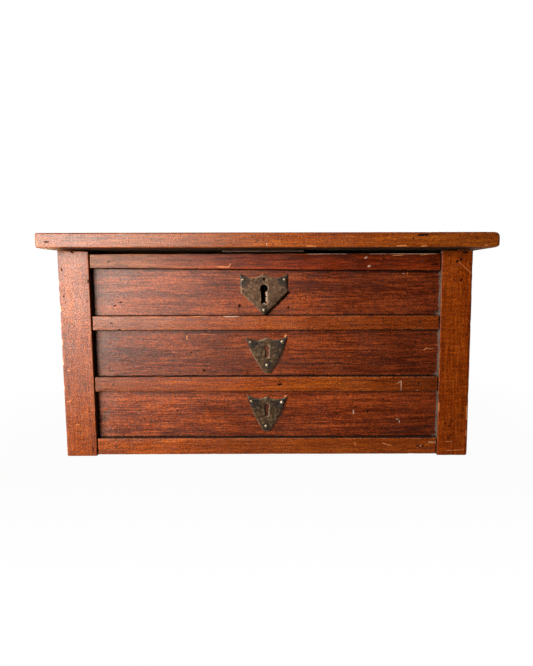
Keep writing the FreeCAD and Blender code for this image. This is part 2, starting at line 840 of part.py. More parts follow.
def link_plate():
    """The plate under the lid's front that carries the staples."""
    half = link_plate_length / 2
    plate = block(
        lock_x - half, lock_x + half, link_front, lock_back, link_underside, lid_underside)
    return cut_all(plate, [staple_tenon(x) for x in staple_places] + link_screws(screw_fit))


pieces = {
    "front_board": front_board(),
    "back_board": back_board(),
    "left_side_board": side_board(left_face, left_inside),
    "right_side_board": side_board(right_inside, right_face),
    "bottom_board": bottom_panel(0),
    "left_stile": stile(left_face, left_opening),
    "right_stile": stile(right_opening, right_face),
    "rail_nails": Part.makeCompound([nail(x, z, rail_face, 0) for x, z in rail_nail_places()]),
    "stile_nails": Part.makeCompound([nail(x, z, stile_face, 0) for x, z in stile_nail_places()]),
    "top_escutcheon": top_plate(),
    "middle_escutcheon": blind_plate(middle_escutcheon),
    "bottom_escutcheon": blind_plate(bottom_escutcheon),
    "top_escutcheon_tacks": Part.makeCompound(top_escutcheon.tacks(0)),
    "middle_escutcheon_tacks": Part.makeCompound(middle_escutcheon.tacks(0)),
    "bottom_escutcheon_tacks": Part.makeCompound(bottom_escutcheon.tacks(0)),
    "lock_case": lock_case(),
    "lock_back_plate": lock_back_plate(),
    "lock_selvedge": lock_selvedge(),
    "lock_bolt": lock_bolt(),
    "lock_guides": Part.makeCompound(lock_guides()),
    "lock_spring": lock_spring(),
    "lock_ward": lock_ward(),
    "lock_screws": Part.makeCompound(lock_screws(0)),
    "lid": lid(),
    "link_plate": link_plate(),
    "link_staples": Part.makeCompound([link_staple(x) for x in staple_places]),
    "link_screws": Part.makeCompound(link_screws(0)),
    "hinge_back_screws": Part.makeCompound(hinge_back_screws(0)),
    "hinge_lid_screws": Part.makeCompound(hinge_lid_screws(0)),
}
for rail_name, (rail_low, rail_high) in rail_levels.items():
    pieces[rail_name] = rail(rail_low, rail_high, rail_tapers[rail_name])
for side_name, hinge_centre in hinge_places.items():
    pieces[side_name + "_hinge_back_leaf"] = hinge_back_leaf(hinge_centre)
    pieces[side_name + "_hinge_lid_leaf"] = hinge_lid_leaf(hinge_centre)
    pieces[side_name + "_hinge_pin"] = hinge_pin(hinge_centre)

for node_name, piece in pieces.items():
    if not piece.isValid():
        raise ValueError(node_name + " is not a valid shape")
    piece.exportStep(os.path.join("parts", node_name + ".step"))
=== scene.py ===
"""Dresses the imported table-top chest: worn polished wood, tarnished brass and rusty iron, in metres."""
import math

import bmesh
import bpy
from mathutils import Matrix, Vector, kdtree, noise


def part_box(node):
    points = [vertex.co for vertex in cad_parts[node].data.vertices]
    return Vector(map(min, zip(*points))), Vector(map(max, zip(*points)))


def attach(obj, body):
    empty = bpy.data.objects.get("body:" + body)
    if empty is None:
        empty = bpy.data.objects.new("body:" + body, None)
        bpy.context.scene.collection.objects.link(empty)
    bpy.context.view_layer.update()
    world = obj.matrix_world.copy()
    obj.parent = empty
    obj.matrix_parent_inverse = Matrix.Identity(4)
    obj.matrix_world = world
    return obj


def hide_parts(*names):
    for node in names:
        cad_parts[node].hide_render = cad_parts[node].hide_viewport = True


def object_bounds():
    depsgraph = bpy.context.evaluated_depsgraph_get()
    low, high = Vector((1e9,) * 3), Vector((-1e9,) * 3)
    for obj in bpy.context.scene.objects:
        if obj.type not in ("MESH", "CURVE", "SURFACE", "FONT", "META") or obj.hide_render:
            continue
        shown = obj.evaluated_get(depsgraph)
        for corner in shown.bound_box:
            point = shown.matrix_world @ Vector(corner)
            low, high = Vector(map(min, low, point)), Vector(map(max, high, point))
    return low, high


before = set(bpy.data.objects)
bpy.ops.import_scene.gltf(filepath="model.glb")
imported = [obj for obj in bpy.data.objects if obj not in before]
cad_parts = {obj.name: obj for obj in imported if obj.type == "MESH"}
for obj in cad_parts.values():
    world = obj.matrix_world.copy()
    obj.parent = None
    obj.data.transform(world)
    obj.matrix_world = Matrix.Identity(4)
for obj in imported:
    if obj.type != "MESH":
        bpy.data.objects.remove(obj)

bl_info = {
    "name": "Table-top chest",
    "version": (1, 0, 0),
    "blender": (4, 5, 0),
    "location": "View3D > Sidebar > Chest",
    "description": "Builds the worn wood, brass and iron of a table-top chest round its packed frame",
    "category": "Object",
}

CAD_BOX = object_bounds()

# Places read from the frame
LID_LOW, LID_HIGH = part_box("lid")
STILE_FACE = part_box("left_stile")[0].y
RAIL_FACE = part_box("top_rail")[0].y
PANEL_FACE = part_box("front_board")[0].y
FRONT_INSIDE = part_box("front_board")[1].y
BACK_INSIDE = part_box("back_board")[0].y
LEFT_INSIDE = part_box("left_side_board")[1].x
RIGHT_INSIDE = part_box("right_side_board")[0].x
LEFT_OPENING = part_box("left_stile")[1].x
RIGHT_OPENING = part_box("right_stile")[0].x
RAILS = ("bottom_rail", "lower_rail", "upper_rail", "top_rail")
STILES = ("left_stile", "right_stile")
PANEL_LEVELS = tuple(
    (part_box(below)[1].z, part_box(above)[0].z) for below, above in zip(RAILS, RAILS[1:]))
TOP_RAIL_SLOPE = 0.00995
SLOT_LEFT, SLOT_RIGHT = -0.0101, -0.0025
SLOT_FOOT, SLOT_TOP = 0.1803, 0.1948
KEYHOLE_PLACE = (-0.0063, PANEL_FACE, 0.1950)
EMPTY_HOLE = Vector((-0.0063, 0.0, 0.2092))
HOLLOW_LOW = Vector((LEFT_INSIDE, FRONT_INSIDE, 0.0))
HOLLOW_HIGH = Vector((RIGHT_INSIDE, BACK_INSIDE, LID_LOW.z))

# How a mesh is cut and shaded
MERGE_DISTANCE = 0.000002
CUT_SNAP = 0.00004
FLAT_ANGLE = math.radians(0.5)
SHARP_ANGLE = math.radians(50.0)
SMOOTH_ANGLE = math.radians(32.0)

# Turns that bring each grain direction onto the X axis of the grain pattern
GRAIN_TURNS = {
    "x": (0.0, 0.0, 0.0),
    "y": (0.0, 0.0, -math.pi / 2),
    "z": (0.0, math.pi / 2, 0.0),
}

# Contrast, ripple across the grain, grit and dark lines of each finish
GRAIN_LOOKS = {
    "frame": (1.22, 0.0, 0.95, 0.40),
    "stile": (1.00, 0.9, 0.58, 0.20),
    "lid": (1.10, 0.0, 0.58, 0.40),
    "panel": (1.80, 0.0, 0.74, 0.90),
    "board": (1.30, 0.3, 0.40, 0.35),
    "inside": (1.00, 0.0, 0.25, 0.20),
}

# How strong the polish still is, where it is weaker than elsewhere
GLOSS_SHARES = {
    "lid": 1.00, "left_stile": 0.92, "right_stile": 0.40, "bottom_rail": 0.80, "lower_rail": 0.84,
    "upper_rail": 0.95, "top_rail": 0.58, "front_board": 0.77, "carcass": 0.50,
}

# Tints along each board of the front, as (x, colour): painted light and shade from left to right, a pale
# grey sheen painted at the left, where the window light falls, and darker, warmer colour towards the right,
# over the boards' own changes of tone
STILE_LIGHT_AND_TONE_TINTS = (
    (-0.240, (0.80, 0.76, 0.80)), (0.235, (0.79, 0.67, 0.48)),
)
LIGHT_AND_TONE_TINTS = {
    "lid": (
        (-0.255, (0.86, 0.90, 0.90)), (-0.190, (0.86, 0.88, 0.90)), (-0.160, (0.74, 0.80, 0.85)),
        (-0.030, (0.84, 0.88, 0.75)), (0.040, (0.97, 0.99, 0.92)), (0.150, (0.90, 0.94, 0.66)),
        (0.255, (0.76, 0.80, 0.55)),
    ),
    "left_stile": STILE_LIGHT_AND_TONE_TINTS,
    "right_stile": STILE_LIGHT_AND_TONE_TINTS,
    "top_rail": (
        (-0.205, (1.00, 1.60, 2.30)), (-0.130, (0.90, 1.14, 1.55)), (-0.040, (1.00, 0.76, 0.50)),
        (0.050, (0.80, 0.53, 0.24)), (0.200, (0.80, 0.56, 0.36)),
    ),
    "upper_rail": (
        (-0.205, (0.66, 0.66, 0.75)), (-0.060, (0.84, 0.78, 0.70)), (0.000, (0.95, 0.90, 0.80)),
        (0.035, (0.88, 0.82, 0.68)), (0.060, (0.74, 0.66, 0.48)), (0.129, (0.78, 0.72, 0.62)),
        (0.132, (0.62, 0.54, 0.52)), (0.200, (0.58, 0.48, 0.42)),
    ),
    "lower_rail": (
        (-0.205, (0.54, 0.52, 0.60)), (-0.160, (0.64, 0.56, 0.45)), (-0.100, (0.84, 0.76, 0.50)),
        (-0.030, (0.98, 0.92, 0.60)), (0.030, (0.93, 0.92, 0.75)), (0.064, (0.82, 0.80, 0.60)),
        (0.110, (0.84, 0.84, 0.65)), (0.170, (0.58, 0.52, 0.50)), (0.200, (0.53, 0.44, 0.42)),
    ),
    "bottom_rail": (
        (-0.205, (1.12, 1.20, 1.40)), (-0.130, (1.10, 1.10, 1.00)), (-0.080, (0.90, 0.86, 0.70)),
        (-0.030, (0.70, 0.66, 0.50)), (0.060, (0.68, 0.62, 0.35)), (0.200, (0.70, 0.61, 0.30)),
    ),
    "front_board": (
        (-0.206, (0.86, 0.90, 0.95)), (-0.170, (0.98, 0.96, 0.98)), (-0.060, (1.01, 0.99, 0.95)),
        (0.015, (0.96, 0.91, 0.87)), (0.075, (1.03, 0.95, 0.89)), (0.120, (0.87, 0.79, 0.74)),
        (0.198, (0.70, 0.58, 0.52)),
    ),
}

# Marks on each board of the front, by tone: start x and z, end x and z, and width, in millimetres; some,
# noted below, are painted light and painted shade, the others are holes, stains, scratches and wear
MARKS = {
    "lid": {
        "dark": (
            (166.0, 256.6, 175.5, 256.8, 1.2), (160.0, 252.9, 160.0, 252.9, 1.2),
            (-244.0, 250.0, -240.0, 250.0, 0.8), (-254.5, 254.5, -253.8, 250.0, 0.7),
        ),
        "bare": (
            (142.5, 244.8, 152.0, 245.2, 1.2), (169.0, 244.6, 174.0, 245.0, 1.2),
            (239.0, 245.0, 241.0, 245.6, 1.0), (43.0, 245.0, 53.0, 244.6, 0.9),
            # The last bare stroke is the worn facet at the lid's left end, painted pale also as the
            # highlight on its rounded end
            (-254.1, 257.2, -252.4, 246.2, 0.9),
        ),
        "pale": (
            (-1.0, 248.0, -0.5, 245.5, 0.6),
        ),
    },
    "left_stile": {
        "dark": (
            (-210.5, 10.2, -210.5, 7.8, 1.0), (-225.0, 240.8, -224.0, 240.4, 1.6),
            (-207.2, 208.0, -207.0, 206.0, 1.0), (-210.0, 184.0, -209.5, 184.6, 0.8),
            (-212.5, 55.0, -212.5, 55.0, 0.8), (-237.4, 221.5, -236.6, 219.0, 0.9),
            (-236.1, 189.9, -236.0, 189.8, 0.9), (-233.5, 213.0, -233.4, 212.8, 0.8),
        ),
        "bare": (
            (-235.5, 104.0, -234.5, 103.0, 1.2), (-238.0, 66.4, -235.5, 66.2, 0.9),
            (-229.0, 38.8, -225.0, 38.4, 0.6),
        ),
        "fresh": (
            (-241.3, 208.5, -240.9, 205.0, 1.1), (-241.3, 195.0, -240.9, 190.5, 1.0),
            (-241.3, 179.0, -240.7, 172.5, 1.3), (-241.3, 159.0, -240.9, 156.0, 1.0),
            (-241.3, 140.5, -240.8, 134.0, 1.1), (-241.3, 116.0, -240.8, 111.0, 1.2),
            (-241.3, 85.0, -240.9, 81.5, 1.0),
        ),
    },
    "right_stile": {
        "dark": (
            (215.4, 228.7, 215.6, 228.7, 1.6), (219.4, 230.8, 219.6, 230.6, 1.6),
            (223.0, 238.8, 226.0, 238.6, 1.4), (220.0, 207.0, 221.0, 208.0, 1.1),
            (230.0, 226.5, 230.2, 225.0, 1.1), (206.8, 39.2, 206.8, 38.8, 1.0),
            (211.6, 36.2, 211.8, 36.0, 1.0), (211.0, 22.1, 211.0, 22.1, 1.0),
        ),
        "bare": (
            (217.0, 228.3, 232.0, 215.0, 0.5), (208.2, 17.0, 215.0, 16.9, 0.5),
            (209.0, 5.8, 230.0, 7.0, 0.6), (231.6, 60.0, 231.8, 44.0, 1.1),
            (231.8, 30.0, 232.0, 24.0, 0.9), (198.8, 64.0, 199.0, 54.0, 0.9),
        ),
        "pale": (
            (215.0, 17.4, 215.8, 16.6, 1.2),
        ),
    },
    "top_rail": {
        "dark": (
            (187.0, 225.3, 193.5, 225.8, 0.9), (132.0, 231.6, 132.0, 231.6, 1.3),
            (-172.2, 220.7, -171.8, 221.3, 1.3),
        ),
        "bare": (
            (-59.0, 223.1, -46.0, 222.8, 0.8), (-46.5, 222.6, -44.0, 226.0, 0.8),
            (142.0, 235.5, 154.0, 236.0, 0.8), (173.0, 236.2, 183.0, 236.6, 0.7),
        ),
        "pale": (
            (45.0, 237.8, 90.0, 237.8, 1.0), (98.0, 237.8, 190.0, 237.6, 0.9),
            (110.5, 232.7, 112.0, 233.5, 1.4), (114.0, 223.2, 115.5, 223.5, 1.3),
        ),
    },
    "upper_rail": {
        "dark": (
            (-174.2, 150.6, -173.8, 151.1, 1.3),
        ),
        "bare": (
            (-171.0, 151.0, -169.0, 151.2, 0.8), (-90.0, 166.4, -64.0, 166.5, 0.7),
        ),
        "pale": (
            (-52.0, 166.4, -36.0, 166.4, 1.3),
        ),
    },
    "lower_rail": {
        "dark": (
            (9.5, 86.5, 12.5, 85.8, 1.4),
        ),
        "pale": (
            (154.0, 90.0, 154.2, 78.5, 0.6), (150.0, 87.2, 153.8, 89.6, 0.5),
            (175.3, 85.9, 175.3, 85.9, 1.2), (173.8, 78.4, 173.8, 78.4, 1.1),
        ),
    },
    "bottom_rail": {
        "dark": (
            (181.0, 11.2, 181.5, 11.2, 1.4),
        ),
        "bare": (
            (133.0, 15.0, 143.0, 12.0, 0.6), (100.0, 16.0, 101.0, 13.0, 0.7),
        ),
        "pale": (
            (188.0, 15.9, 197.2, 15.8, 0.8), (178.5, 11.0, 179.0, 11.2, 1.0),
        ),
    },
    "front_board": {
        "stain_and_shade": (
            (-62.3, 204.8, -62.3, 203.0, 1.6), (-59.2, 204.0, -59.0, 203.0, 1.3),
            # Painted shade: the strokes at x -3.7 and -4.1 darken the wood seen in the blind keyholes of the
            # middle and bottom escutcheons, and those from (19.0, 130.0) and (18.5, 58.0) paint the shadows
            # along those escutcheons' lower right edges
            (-98.5, 146.5, -98.5, 140.0, 2.4), (-3.7, 129.5, -3.7, 119.0, 4.2),
            (-4.1, 59.0, -4.1, 48.5, 4.2), (19.0, 130.0, 12.5, 114.0, 1.6),
            (12.5, 114.0, 2.0, 98.8, 1.8), (18.5, 58.0, 10.5, 42.0, 1.6), (10.5, 42.0, -0.5, 28.0, 1.8),
            (132.6, 23.7, 164.0, 28.2, 1.4), (164.0, 28.2, 196.0, 33.6, 1.9),
            (18.0, 110.0, 100.0, 108.5, 1.1), (100.0, 108.5, 194.0, 109.0, 0.9),
        ),
        "dark": (
            (-173.7, 182.6, -173.5, 182.6, 1.1), (-182.0, 178.3, -180.0, 178.8, 1.0),
            (-35.6, 178.1, -34.8, 178.1, 1.9), (21.6, 175.8, 22.2, 175.4, 1.6),
            (-78.5, 101.8, -77.2, 101.2, 1.3), (-93.0, 123.1, -93.0, 123.1, 1.2),
            (-150.2, 42.6, -150.2, 42.6, 1.2), (-111.0, 52.7, -111.0, 52.7, 1.1),
            # Painted shade: the first two strokes here are the shadow along the top escutcheon's lower right
            # edge and the dark seen through its empty nail hole
            (21.4, 193.1, -5.5, 166.5, 3.0), (-6.3, 209.2, -6.2, 209.2, 2.6),
            (115.0, 52.0, 116.5, 51.5, 1.0),
        ),
        "bare": (
            (-97.5, 142.5, -97.5, 139.0, 0.9), (182.0, 125.8, 185.0, 127.6, 0.9),
            (185.0, 127.6, 189.0, 126.8, 0.6), (189.0, 126.8, 192.5, 127.2, 0.5),
            (160.0, 214.0, 161.0, 216.0, 0.6), (17.8, 142.0, 19.0, 143.0, 1.8),
            (17.5, 69.8, 18.8, 70.4, 1.8),
        ),
        "pale": (
            # Painted light: the first two strokes here light the splinters at the right and the foot of the
            # top keyhole, where light falls into it
            (-2.6, 194.5, -3.2, 185.0, 2.6), (-3.0, 183.5, -8.5, 181.2, 2.4),
            (99.0, 52.5, 99.4, 49.0, 0.9), (156.0, 215.0, 156.5, 215.0, 1.0),
            (150.0, 42.0, 153.0, 42.0, 0.6), (154.0, 40.0, 154.5, 38.0, 0.7),
        ),
    },
}
MARK_STRENGTHS = {"dark": 0.95, "stain_and_shade": 0.55, "bare": 0.70, "pale": 0.65, "fresh": 0.80}
MARK_SPREADS = {"dark": 1.30}

# Patterns drawn out along the grain, as share kept along it, scale, detail and roughness
GRAIN_PATTERNS = {
    "bands": (0.05, 48.0, 2.0, 0.55),
    "streaks": (0.03, 460.0, 3.0, 0.70),
    "hairs": (0.07, 900.0, 2.0, 0.60),
    "clouds": (0.45, 15.0, 3.0, 0.55),
    "rings": (0.025, 95.0, 2.0, 0.55),
    "breaks": (0.20, 110.0, 2.0, 0.55),
    "threads": (0.03, 330.0, 1.0, 0.55),
    "pores": (0.30, 700.0, 2.0, 0.55),
}
GRAIN_WEIGHTS = {"bands": 0.6, "streaks": 1.3, "hairs": 1.0, "clouds": 0.7}

# Where each part of the grain starts to show, and where it shows in full
GRAIN_RANGES = {
    "dark": (0.12, 0.50),
    "light": (0.50, 0.88),
    "rings": (0.80, 1.00),
    "breaks": (0.40, 0.65),
    "threads": (0.58, 0.68),
    "grit": (0.25, 0.75),
    "pores": (0.56, 0.74),
}

# Noise patterns over a surface: scale, detail, where each starts and ends, and its values there
SPECKS = {
    "polish": (30.0, 4.0, 0.30, 0.70),
    "scuffs": (45.0, 4.0, 0.35, 0.65),
    "mark_edge": (900.0, 2.0, 0.30, 0.70, 0.55, 1.25),
    "stile_dust": (90.0, 3.0, 0.30, 0.60, 0.45, 1.00),
    "rail_dust": (240.0, 3.0, 0.52, 0.68),
    "panel_dust": (320.0, 3.0, 0.35, 0.70),
    "bloom": (330.0, 4.0, 0.50, 0.64),
    "pits": (1500.0, 1.0, 0.60, 0.72),
    "plate_edge_breaks": (300.0, 3.0, 0.35, 0.65, 0.25, 0.90),
    "plate_rust": (420.0, 2.0, 0.49, 0.57),
    "link_highlight_breaks": (130.0, 3.0, 0.30, 0.60, 0.35, 0.90),
}

# Shifts of the grain pattern that make each board or set of boards its own, and seeds of the wear
STILE_SHIFT = (0.40, 0.13, 0.21)
RAIL_SHIFT = (0.27, 0.09, 0.17)
CARCASS_SHIFT = (0.20, 0.10, 0.30)
LID_SHIFT = (0.11, 0.07, 0.03)
PANEL_SHIFT = (0.31, 0.05, 0.42)
INSIDE_SHIFT = (0.12, 0.23, 0.34)
UNDERSIDE_SHIFT = (0.45, 0.16, 0.08)
LID_SEED = 1.7
STILE_SEED = 3.1
RAIL_SEED = 7.3
OUTLINE_SEED = 1

# Radii to which the ends of a board are worn at foot and top; each end of the lid's with its side first
LID_ENDS = ((1.0, 0.0060, 0.0078), (-1.0, 0.0050, 0.0030))
STILE_END = (0.0030, 0.0006)

MILLIMETRE = 0.001
WHITE = (1.0, 1.0, 1.0, 1.0)
VALUE_SUMS = ("DOT_PRODUCT", "DISTANCE", "LENGTH")


def colour_property(name, description, default):
    """A colour that a user can change."""
    return bpy.props.FloatVectorProperty(
        name=name, description=description, default=default, size=3, subtype="COLOR", min=0.0, max=1.0)


def length_property(name, description, default):
    """A length in metres that a user can change."""
    return bpy.props.FloatProperty(
        name=name, description=description, default=default, unit="LENGTH", min=0.0, precision=5)


def share_property(name, description, default):
    """A share from nothing to all."""
    return bpy.props.FloatProperty(
        name=name, description=description, default=default, subtype="FACTOR", min=0.0, max=1.0)


def place_property(name, description, default):
    """A place in the shared frame."""
    return bpy.props.FloatVectorProperty(
        name=name, description=description, default=default, subtype="TRANSLATION", unit="LENGTH")


def number_property(name, description, default, unit):
    """A number with a unit."""
    return bpy.props.FloatProperty(name=name, description=description, default=default, unit=unit)


class ChestWood(bpy.types.PropertyGroup):
    """Colours, gloss and wear of the chest's wood."""

    frame_dark: colour_property("Frame dark", "Dark grain of lid, stiles and rails", (0.125, 0.0200, 0.0016))
    frame_middle: colour_property("Frame middle", "Colour of lid, stiles and rails", (0.262, 0.0480, 0.0034))
    # This colour also paints light under the lid, at its right front corner
    frame_light: colour_property("Frame light", "Light grain of lid, stiles, rails", (0.400, 0.0920, 0.0090))
    panel_dark: colour_property("Panel dark", "Dark grain of the front panels", (0.075, 0.0115, 0.0022))
    panel_middle: colour_property("Panel middle", "Main colour of the front panels", (0.175, 0.0300, 0.0056))
    panel_light: colour_property("Panel light", "Light grain of the front panels", (0.285, 0.0570, 0.0120))
    board_dark: colour_property("Board dark", "Dark grain of the sides and the back", (0.090, 0.017, 0.004))
    board_middle: colour_property("Board middle", "Colour of the sides and the back", (0.175, 0.037, 0.008))
    board_light: colour_property("Board light", "Light grain of the sides and back", (0.270, 0.068, 0.016))
    inside_dark: colour_property("Inside dark", "Dark grain of the unpolished inside", (0.150, 0.066, 0.028))
    inside_middle: colour_property("Inside middle", "Colour of the unpolished inside", (0.260, 0.130, 0.060))
    inside_light: colour_property("Inside light", "Light grain of the plain inside", (0.360, 0.205, 0.105))
    bare: colour_property("Bare wood", "Wood where the polish has rubbed off", (0.700, 0.260, 0.090))
    # This pale colour also paints light under the lid, at its left front corner
    fresh: colour_property("Fresh wood", "Pale wood, under the lid and in chips", (0.900, 0.560, 0.340))
    pale: colour_property("Pale marks", "Scratches and chalky specks", (0.620, 0.470, 0.360))
    # Besides dirt, this colour paints shade in the panels' corners, on the stiles' inner sides, under the
    # lid's overhang, in the keyhole's bore and in the shadow marks
    grime_and_shade: colour_property("Grime", "Dirt in corners, holes and pores", (0.012, 0.006, 0.004))
    dust: colour_property("Dust", "Grey dust in the corners of the panels", (0.240, 0.205, 0.180))
    gloss_roughness: share_property("Polish roughness", "Roughness of the old polish", 0.31)
    dry_roughness: share_property("Dry roughness", "Roughness of bare, dusty wood", 0.75)
    specular: share_property("Polish strength", "Mirror strength of the old polish", 0.48)
    arris_width: length_property("Rubbed arris", "Width of the rubbed stripe along an arris", 0.0011)
    wear: length_property("Arris wear", "Deepest chip along an arris", 0.0009)
    wave: length_property("Face wave", "Unevenness of a hand-planed face", 0.00022)
    soft_edge: length_property("Soft edge", "Width of the softened edges of the carcass", 0.0003)
    splinter: length_property("Splinter", "Longest splinter at the edge of the keyhole", 0.0030)
    stile_lift: length_property("Stile lift", "How far the left stile's top is out of square", 0.0011)
    nail_sink: length_property("Nail sink", "How far the nails in the rails are sunk", 0.0006)
    stop_sink: length_property("Stopping sink", "How far the stopping over the stile nails is sunk", 0.0002)
    cut_step: length_property("Mesh step", "Spacing of the cuts along a board", 0.006)


class ChestMetal(bpy.types.PropertyGroup):
    """Colours and finish of the brass and the iron."""

    brass_dark: colour_property("Brass dark", "Tarnish on the top plate", (0.046, 0.025, 0.013))
    brass_middle: colour_property("Brass middle", "Main colour of the top plate", (0.114, 0.056, 0.029))
    # Along the escutcheons' outlines this colour is rubbed brass that also paints the highlight on their
    # edges
    brass_light: colour_property("Brass light", "Brass rubbed bright", (0.360, 0.235, 0.135))
    dull_dark: colour_property("Dull brass dark", "Tarnish on the lower plates", (0.028, 0.017, 0.010))
    dull_middle: colour_property("Dull brass middle", "Colour of the lower plates", (0.092, 0.048, 0.020))
    # This colour paints the highlight along the right side of each keyhole in the escutcheons
    keyhole_glint_brass: colour_property("Scraped brass", "Bare metal beside the keyholes", (0.400, 0.300, 0.210))
    tack_dark: colour_property("Tack dark", "Worn dirt on the tacks", (0.110, 0.072, 0.045))
    tack_light: colour_property("Tack light", "Tacks rubbed bright", (0.400, 0.315, 0.225))
    # Besides soot, this colour paints shade in a ring at the foot of each tack
    soot: colour_property("Soot", "Black dirt round the tacks", (0.014, 0.013, 0.014))
    iron_dark: colour_property("Iron dark", "Dark scale on the iron", (0.016, 0.012, 0.010))
    iron_middle: colour_property("Iron middle", "Main colour of the old iron", (0.070, 0.050, 0.040))
    rust: colour_property("Rust", "Rust bloom on the iron", (0.130, 0.045, 0.016))
    # This colour paints the highlight along the link plate's lower edge
    iron_edge_highlight: colour_property("Rubbed iron", "Iron rubbed bright along an edge", (0.200, 0.115, 0.080))
    brass_roughness: share_property("Brass roughness", "Roughness of the old brass", 0.42)
    tack_roughness: share_property("Tack roughness", "Roughness of the rubbed tacks", 0.30)
    iron_roughness: share_property("Iron roughness", "Roughness of the old iron", 0.55)
    plate_step: length_property("Plate step", "Spacing of the cuts across an escutcheon", 0.0012)
    plate_dent: length_property("Plate dents", "Depth of the dents in an escutcheon", 0.00035)
    plate_roll: length_property("Plate roll", "How far an escutcheon's edge is rounded over", 0.0006)
    soft_edge: length_property("Soft edge", "Width of the softened edges of the metalwork", 0.00025)


class ChestStage(bpy.types.PropertyGroup):
    """Floor, lights and camera."""

    floor_size: length_property("Floor size", "Side of the square floor", 12.0)
    floor_colour: colour_property("Floor colour", "Colour of the matt floor", (0.12, 0.085, 0.055))
    floor_glow: share_property("Floor glow", "How far the floor shows as white beside the chest", 0.97)
    shadow_reach: length_property("Shadow reach", "Where the chest's shadow has faded into white", 0.30)
    room_light: share_property("Room light", "Strength of the soft light from all round", 0.05)
    room_colour: colour_property("Room colour", "Colour of the soft light from all round", (1.0, 0.93, 0.84))
    room_mirror: share_property("Room in mirrors", "How bright the room in front is in a mirror", 0.02)
    back_mirror: share_property("Back in mirrors", "How bright the backdrop is in a mirror", 0.60)
    key_place: place_property("Key place", "Where the window light stands", (-0.57, -0.72, 0.34))
    key_target: place_property("Key target", "Where the window light is aimed", (-0.15, -0.13, 0.14))
    key_size: length_property("Key size", "Side of the window light", 0.58)
    key_colour: colour_property("Key colour", "Colour of the window light", (1.0, 0.95, 0.86))
    key_power: number_property("Key power", "Power of the window light", 15.2, "POWER")
    bounce_place: place_property("Bounce place", "Where light comes back up", (-0.56, -0.44, 0.03))
    bounce_size: length_property("Bounce size", "Side of the light that comes back up", 0.35)
    bounce_power: number_property("Bounce power", "Power of the light from below", 0.65, "POWER")
    back_place: place_property("Back light place", "Where the light behind stands", (0.75, 1.10, 0.95))
    back_size: length_property("Back light size", "Side of the light behind the chest", 0.9)
    back_power: number_property("Back light power", "Power of the light behind", 12.0, "POWER")
    camera_place: place_property("Camera place", "Where the camera stands", (0.0345, -0.7295, 0.2097))
    camera_dip: number_property("Camera dip", "How far the camera looks down", 0.1056, "ROTATION")
    camera_roll: number_property("Camera roll", "How far the camera leans right", 0.0026, "ROTATION")
    camera_lens: number_property("Camera lens", "Focal length on a 36 mm sensor", 27.84, "CAMERA")
    camera_shift: number_property("Camera shift", "Sideways shift of the picture", -0.0487, "NONE")


def opaque(colour):
    """A colour with full alpha, as a shader socket wants it."""
    return (colour[0], colour[1], colour[2], 1.0)


def copy_of(node):
    """A mesh of a frame node with its loose triangles merged."""
    shape = bmesh.new()
    shape.from_mesh(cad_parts[node].data)
    bmesh.ops.remove_doubles(shape, verts=shape.verts[:], dist=MERGE_DISTANCE)
    return shape


def cut_across(shape, axis, places):
    """Cuts a mesh with planes square to an axis."""
    normal = Vector((0.0, 0.0, 0.0))
    normal[axis] = 1.0
    for place in places:
        geometry = shape.verts[:] + shape.edges[:] + shape.faces[:]
        bmesh.ops.bisect_plane(
            shape, geom=geometry, dist=CUT_SNAP, plane_co=normal * place, plane_no=normal)


def even_places(low, high, step):
    """Evenly spaced places between two ends, about a step apart."""
    count = max(1, round((high - low) / step))
    return [low + (high - low) * index / count for index in range(1, count)]


def cut_grid(shape, node, steps):
    """Cuts a node's mesh into a grid, along each axis that has a step."""
    low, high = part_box(node)
    for axis, step in enumerate(steps):
        if step is not None:
            cut_across(shape, axis, even_places(low[axis], high[axis], step))


def soften(shape, width):
    """Rounds the long sharp outer edges of a mesh."""
    least_length = 4.0 * width
    bmesh.ops.dissolve_limit(shape, angle_limit=FLAT_ANGLE, verts=shape.verts[:], edges=shape.edges[:])
    sharp = []
    for edge in shape.edges:
        if edge.is_manifold and edge.calc_length() > least_length:
            if edge.calc_face_angle_signed() > SHARP_ANGLE:
                sharp.append(edge)
    bmesh.ops.bevel(
        shape, geom=sharp, offset=width, offset_type="OFFSET", segments=2, profile=0.5,
        affect="EDGES", clamp_overlap=True, material=-1)
    bmesh.ops.triangulate(shape, faces=shape.faces[:])


def closeness(gap, reach):
    """One at no gap, down to nothing at the reach."""
    return max(0.0, 1.0 - gap / reach)


def weather(shape, node, wave, wear, seed):
    """Moves a board's surface inwards: slow waves over the faces, and chips along the arrises."""
    face_reach = 0.0012
    arris_reach = 0.0030
    wave_pitch = 22.0
    chip_pitch = 95.0
    fine_pitch = 2.7
    fine_share = 0.5
    least_chip = 0.18
    chip_start = 0.15
    low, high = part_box(node)
    offset = Vector((seed, seed * 0.7, -seed * 1.3))
    for vert in shape.verts:
        place = vert.co.copy()
        depths = [min(place[axis] - low[axis], high[axis] - place[axis]) for axis in range(3)]
        arris = closeness(sorted(depths)[1], arris_reach)
        swell = wave * (0.5 + 0.5 * noise.noise(place * wave_pitch + offset))
        rough = noise.noise(place * chip_pitch + offset)
        rough += fine_share * noise.noise(place * chip_pitch * fine_pitch - offset)
        chip = wear * arris * arris * (least_chip + max(0.0, rough - chip_start))
        for axis in range(3):
            inward = 1.0 if place[axis] - low[axis] < high[axis] - place[axis] else -1.0
            depth = max(0.0, depths[axis])
            moved = swell * closeness(depth, face_reach) + chip * closeness(depth, arris_reach)
            vert.co[axis] += inward * moved


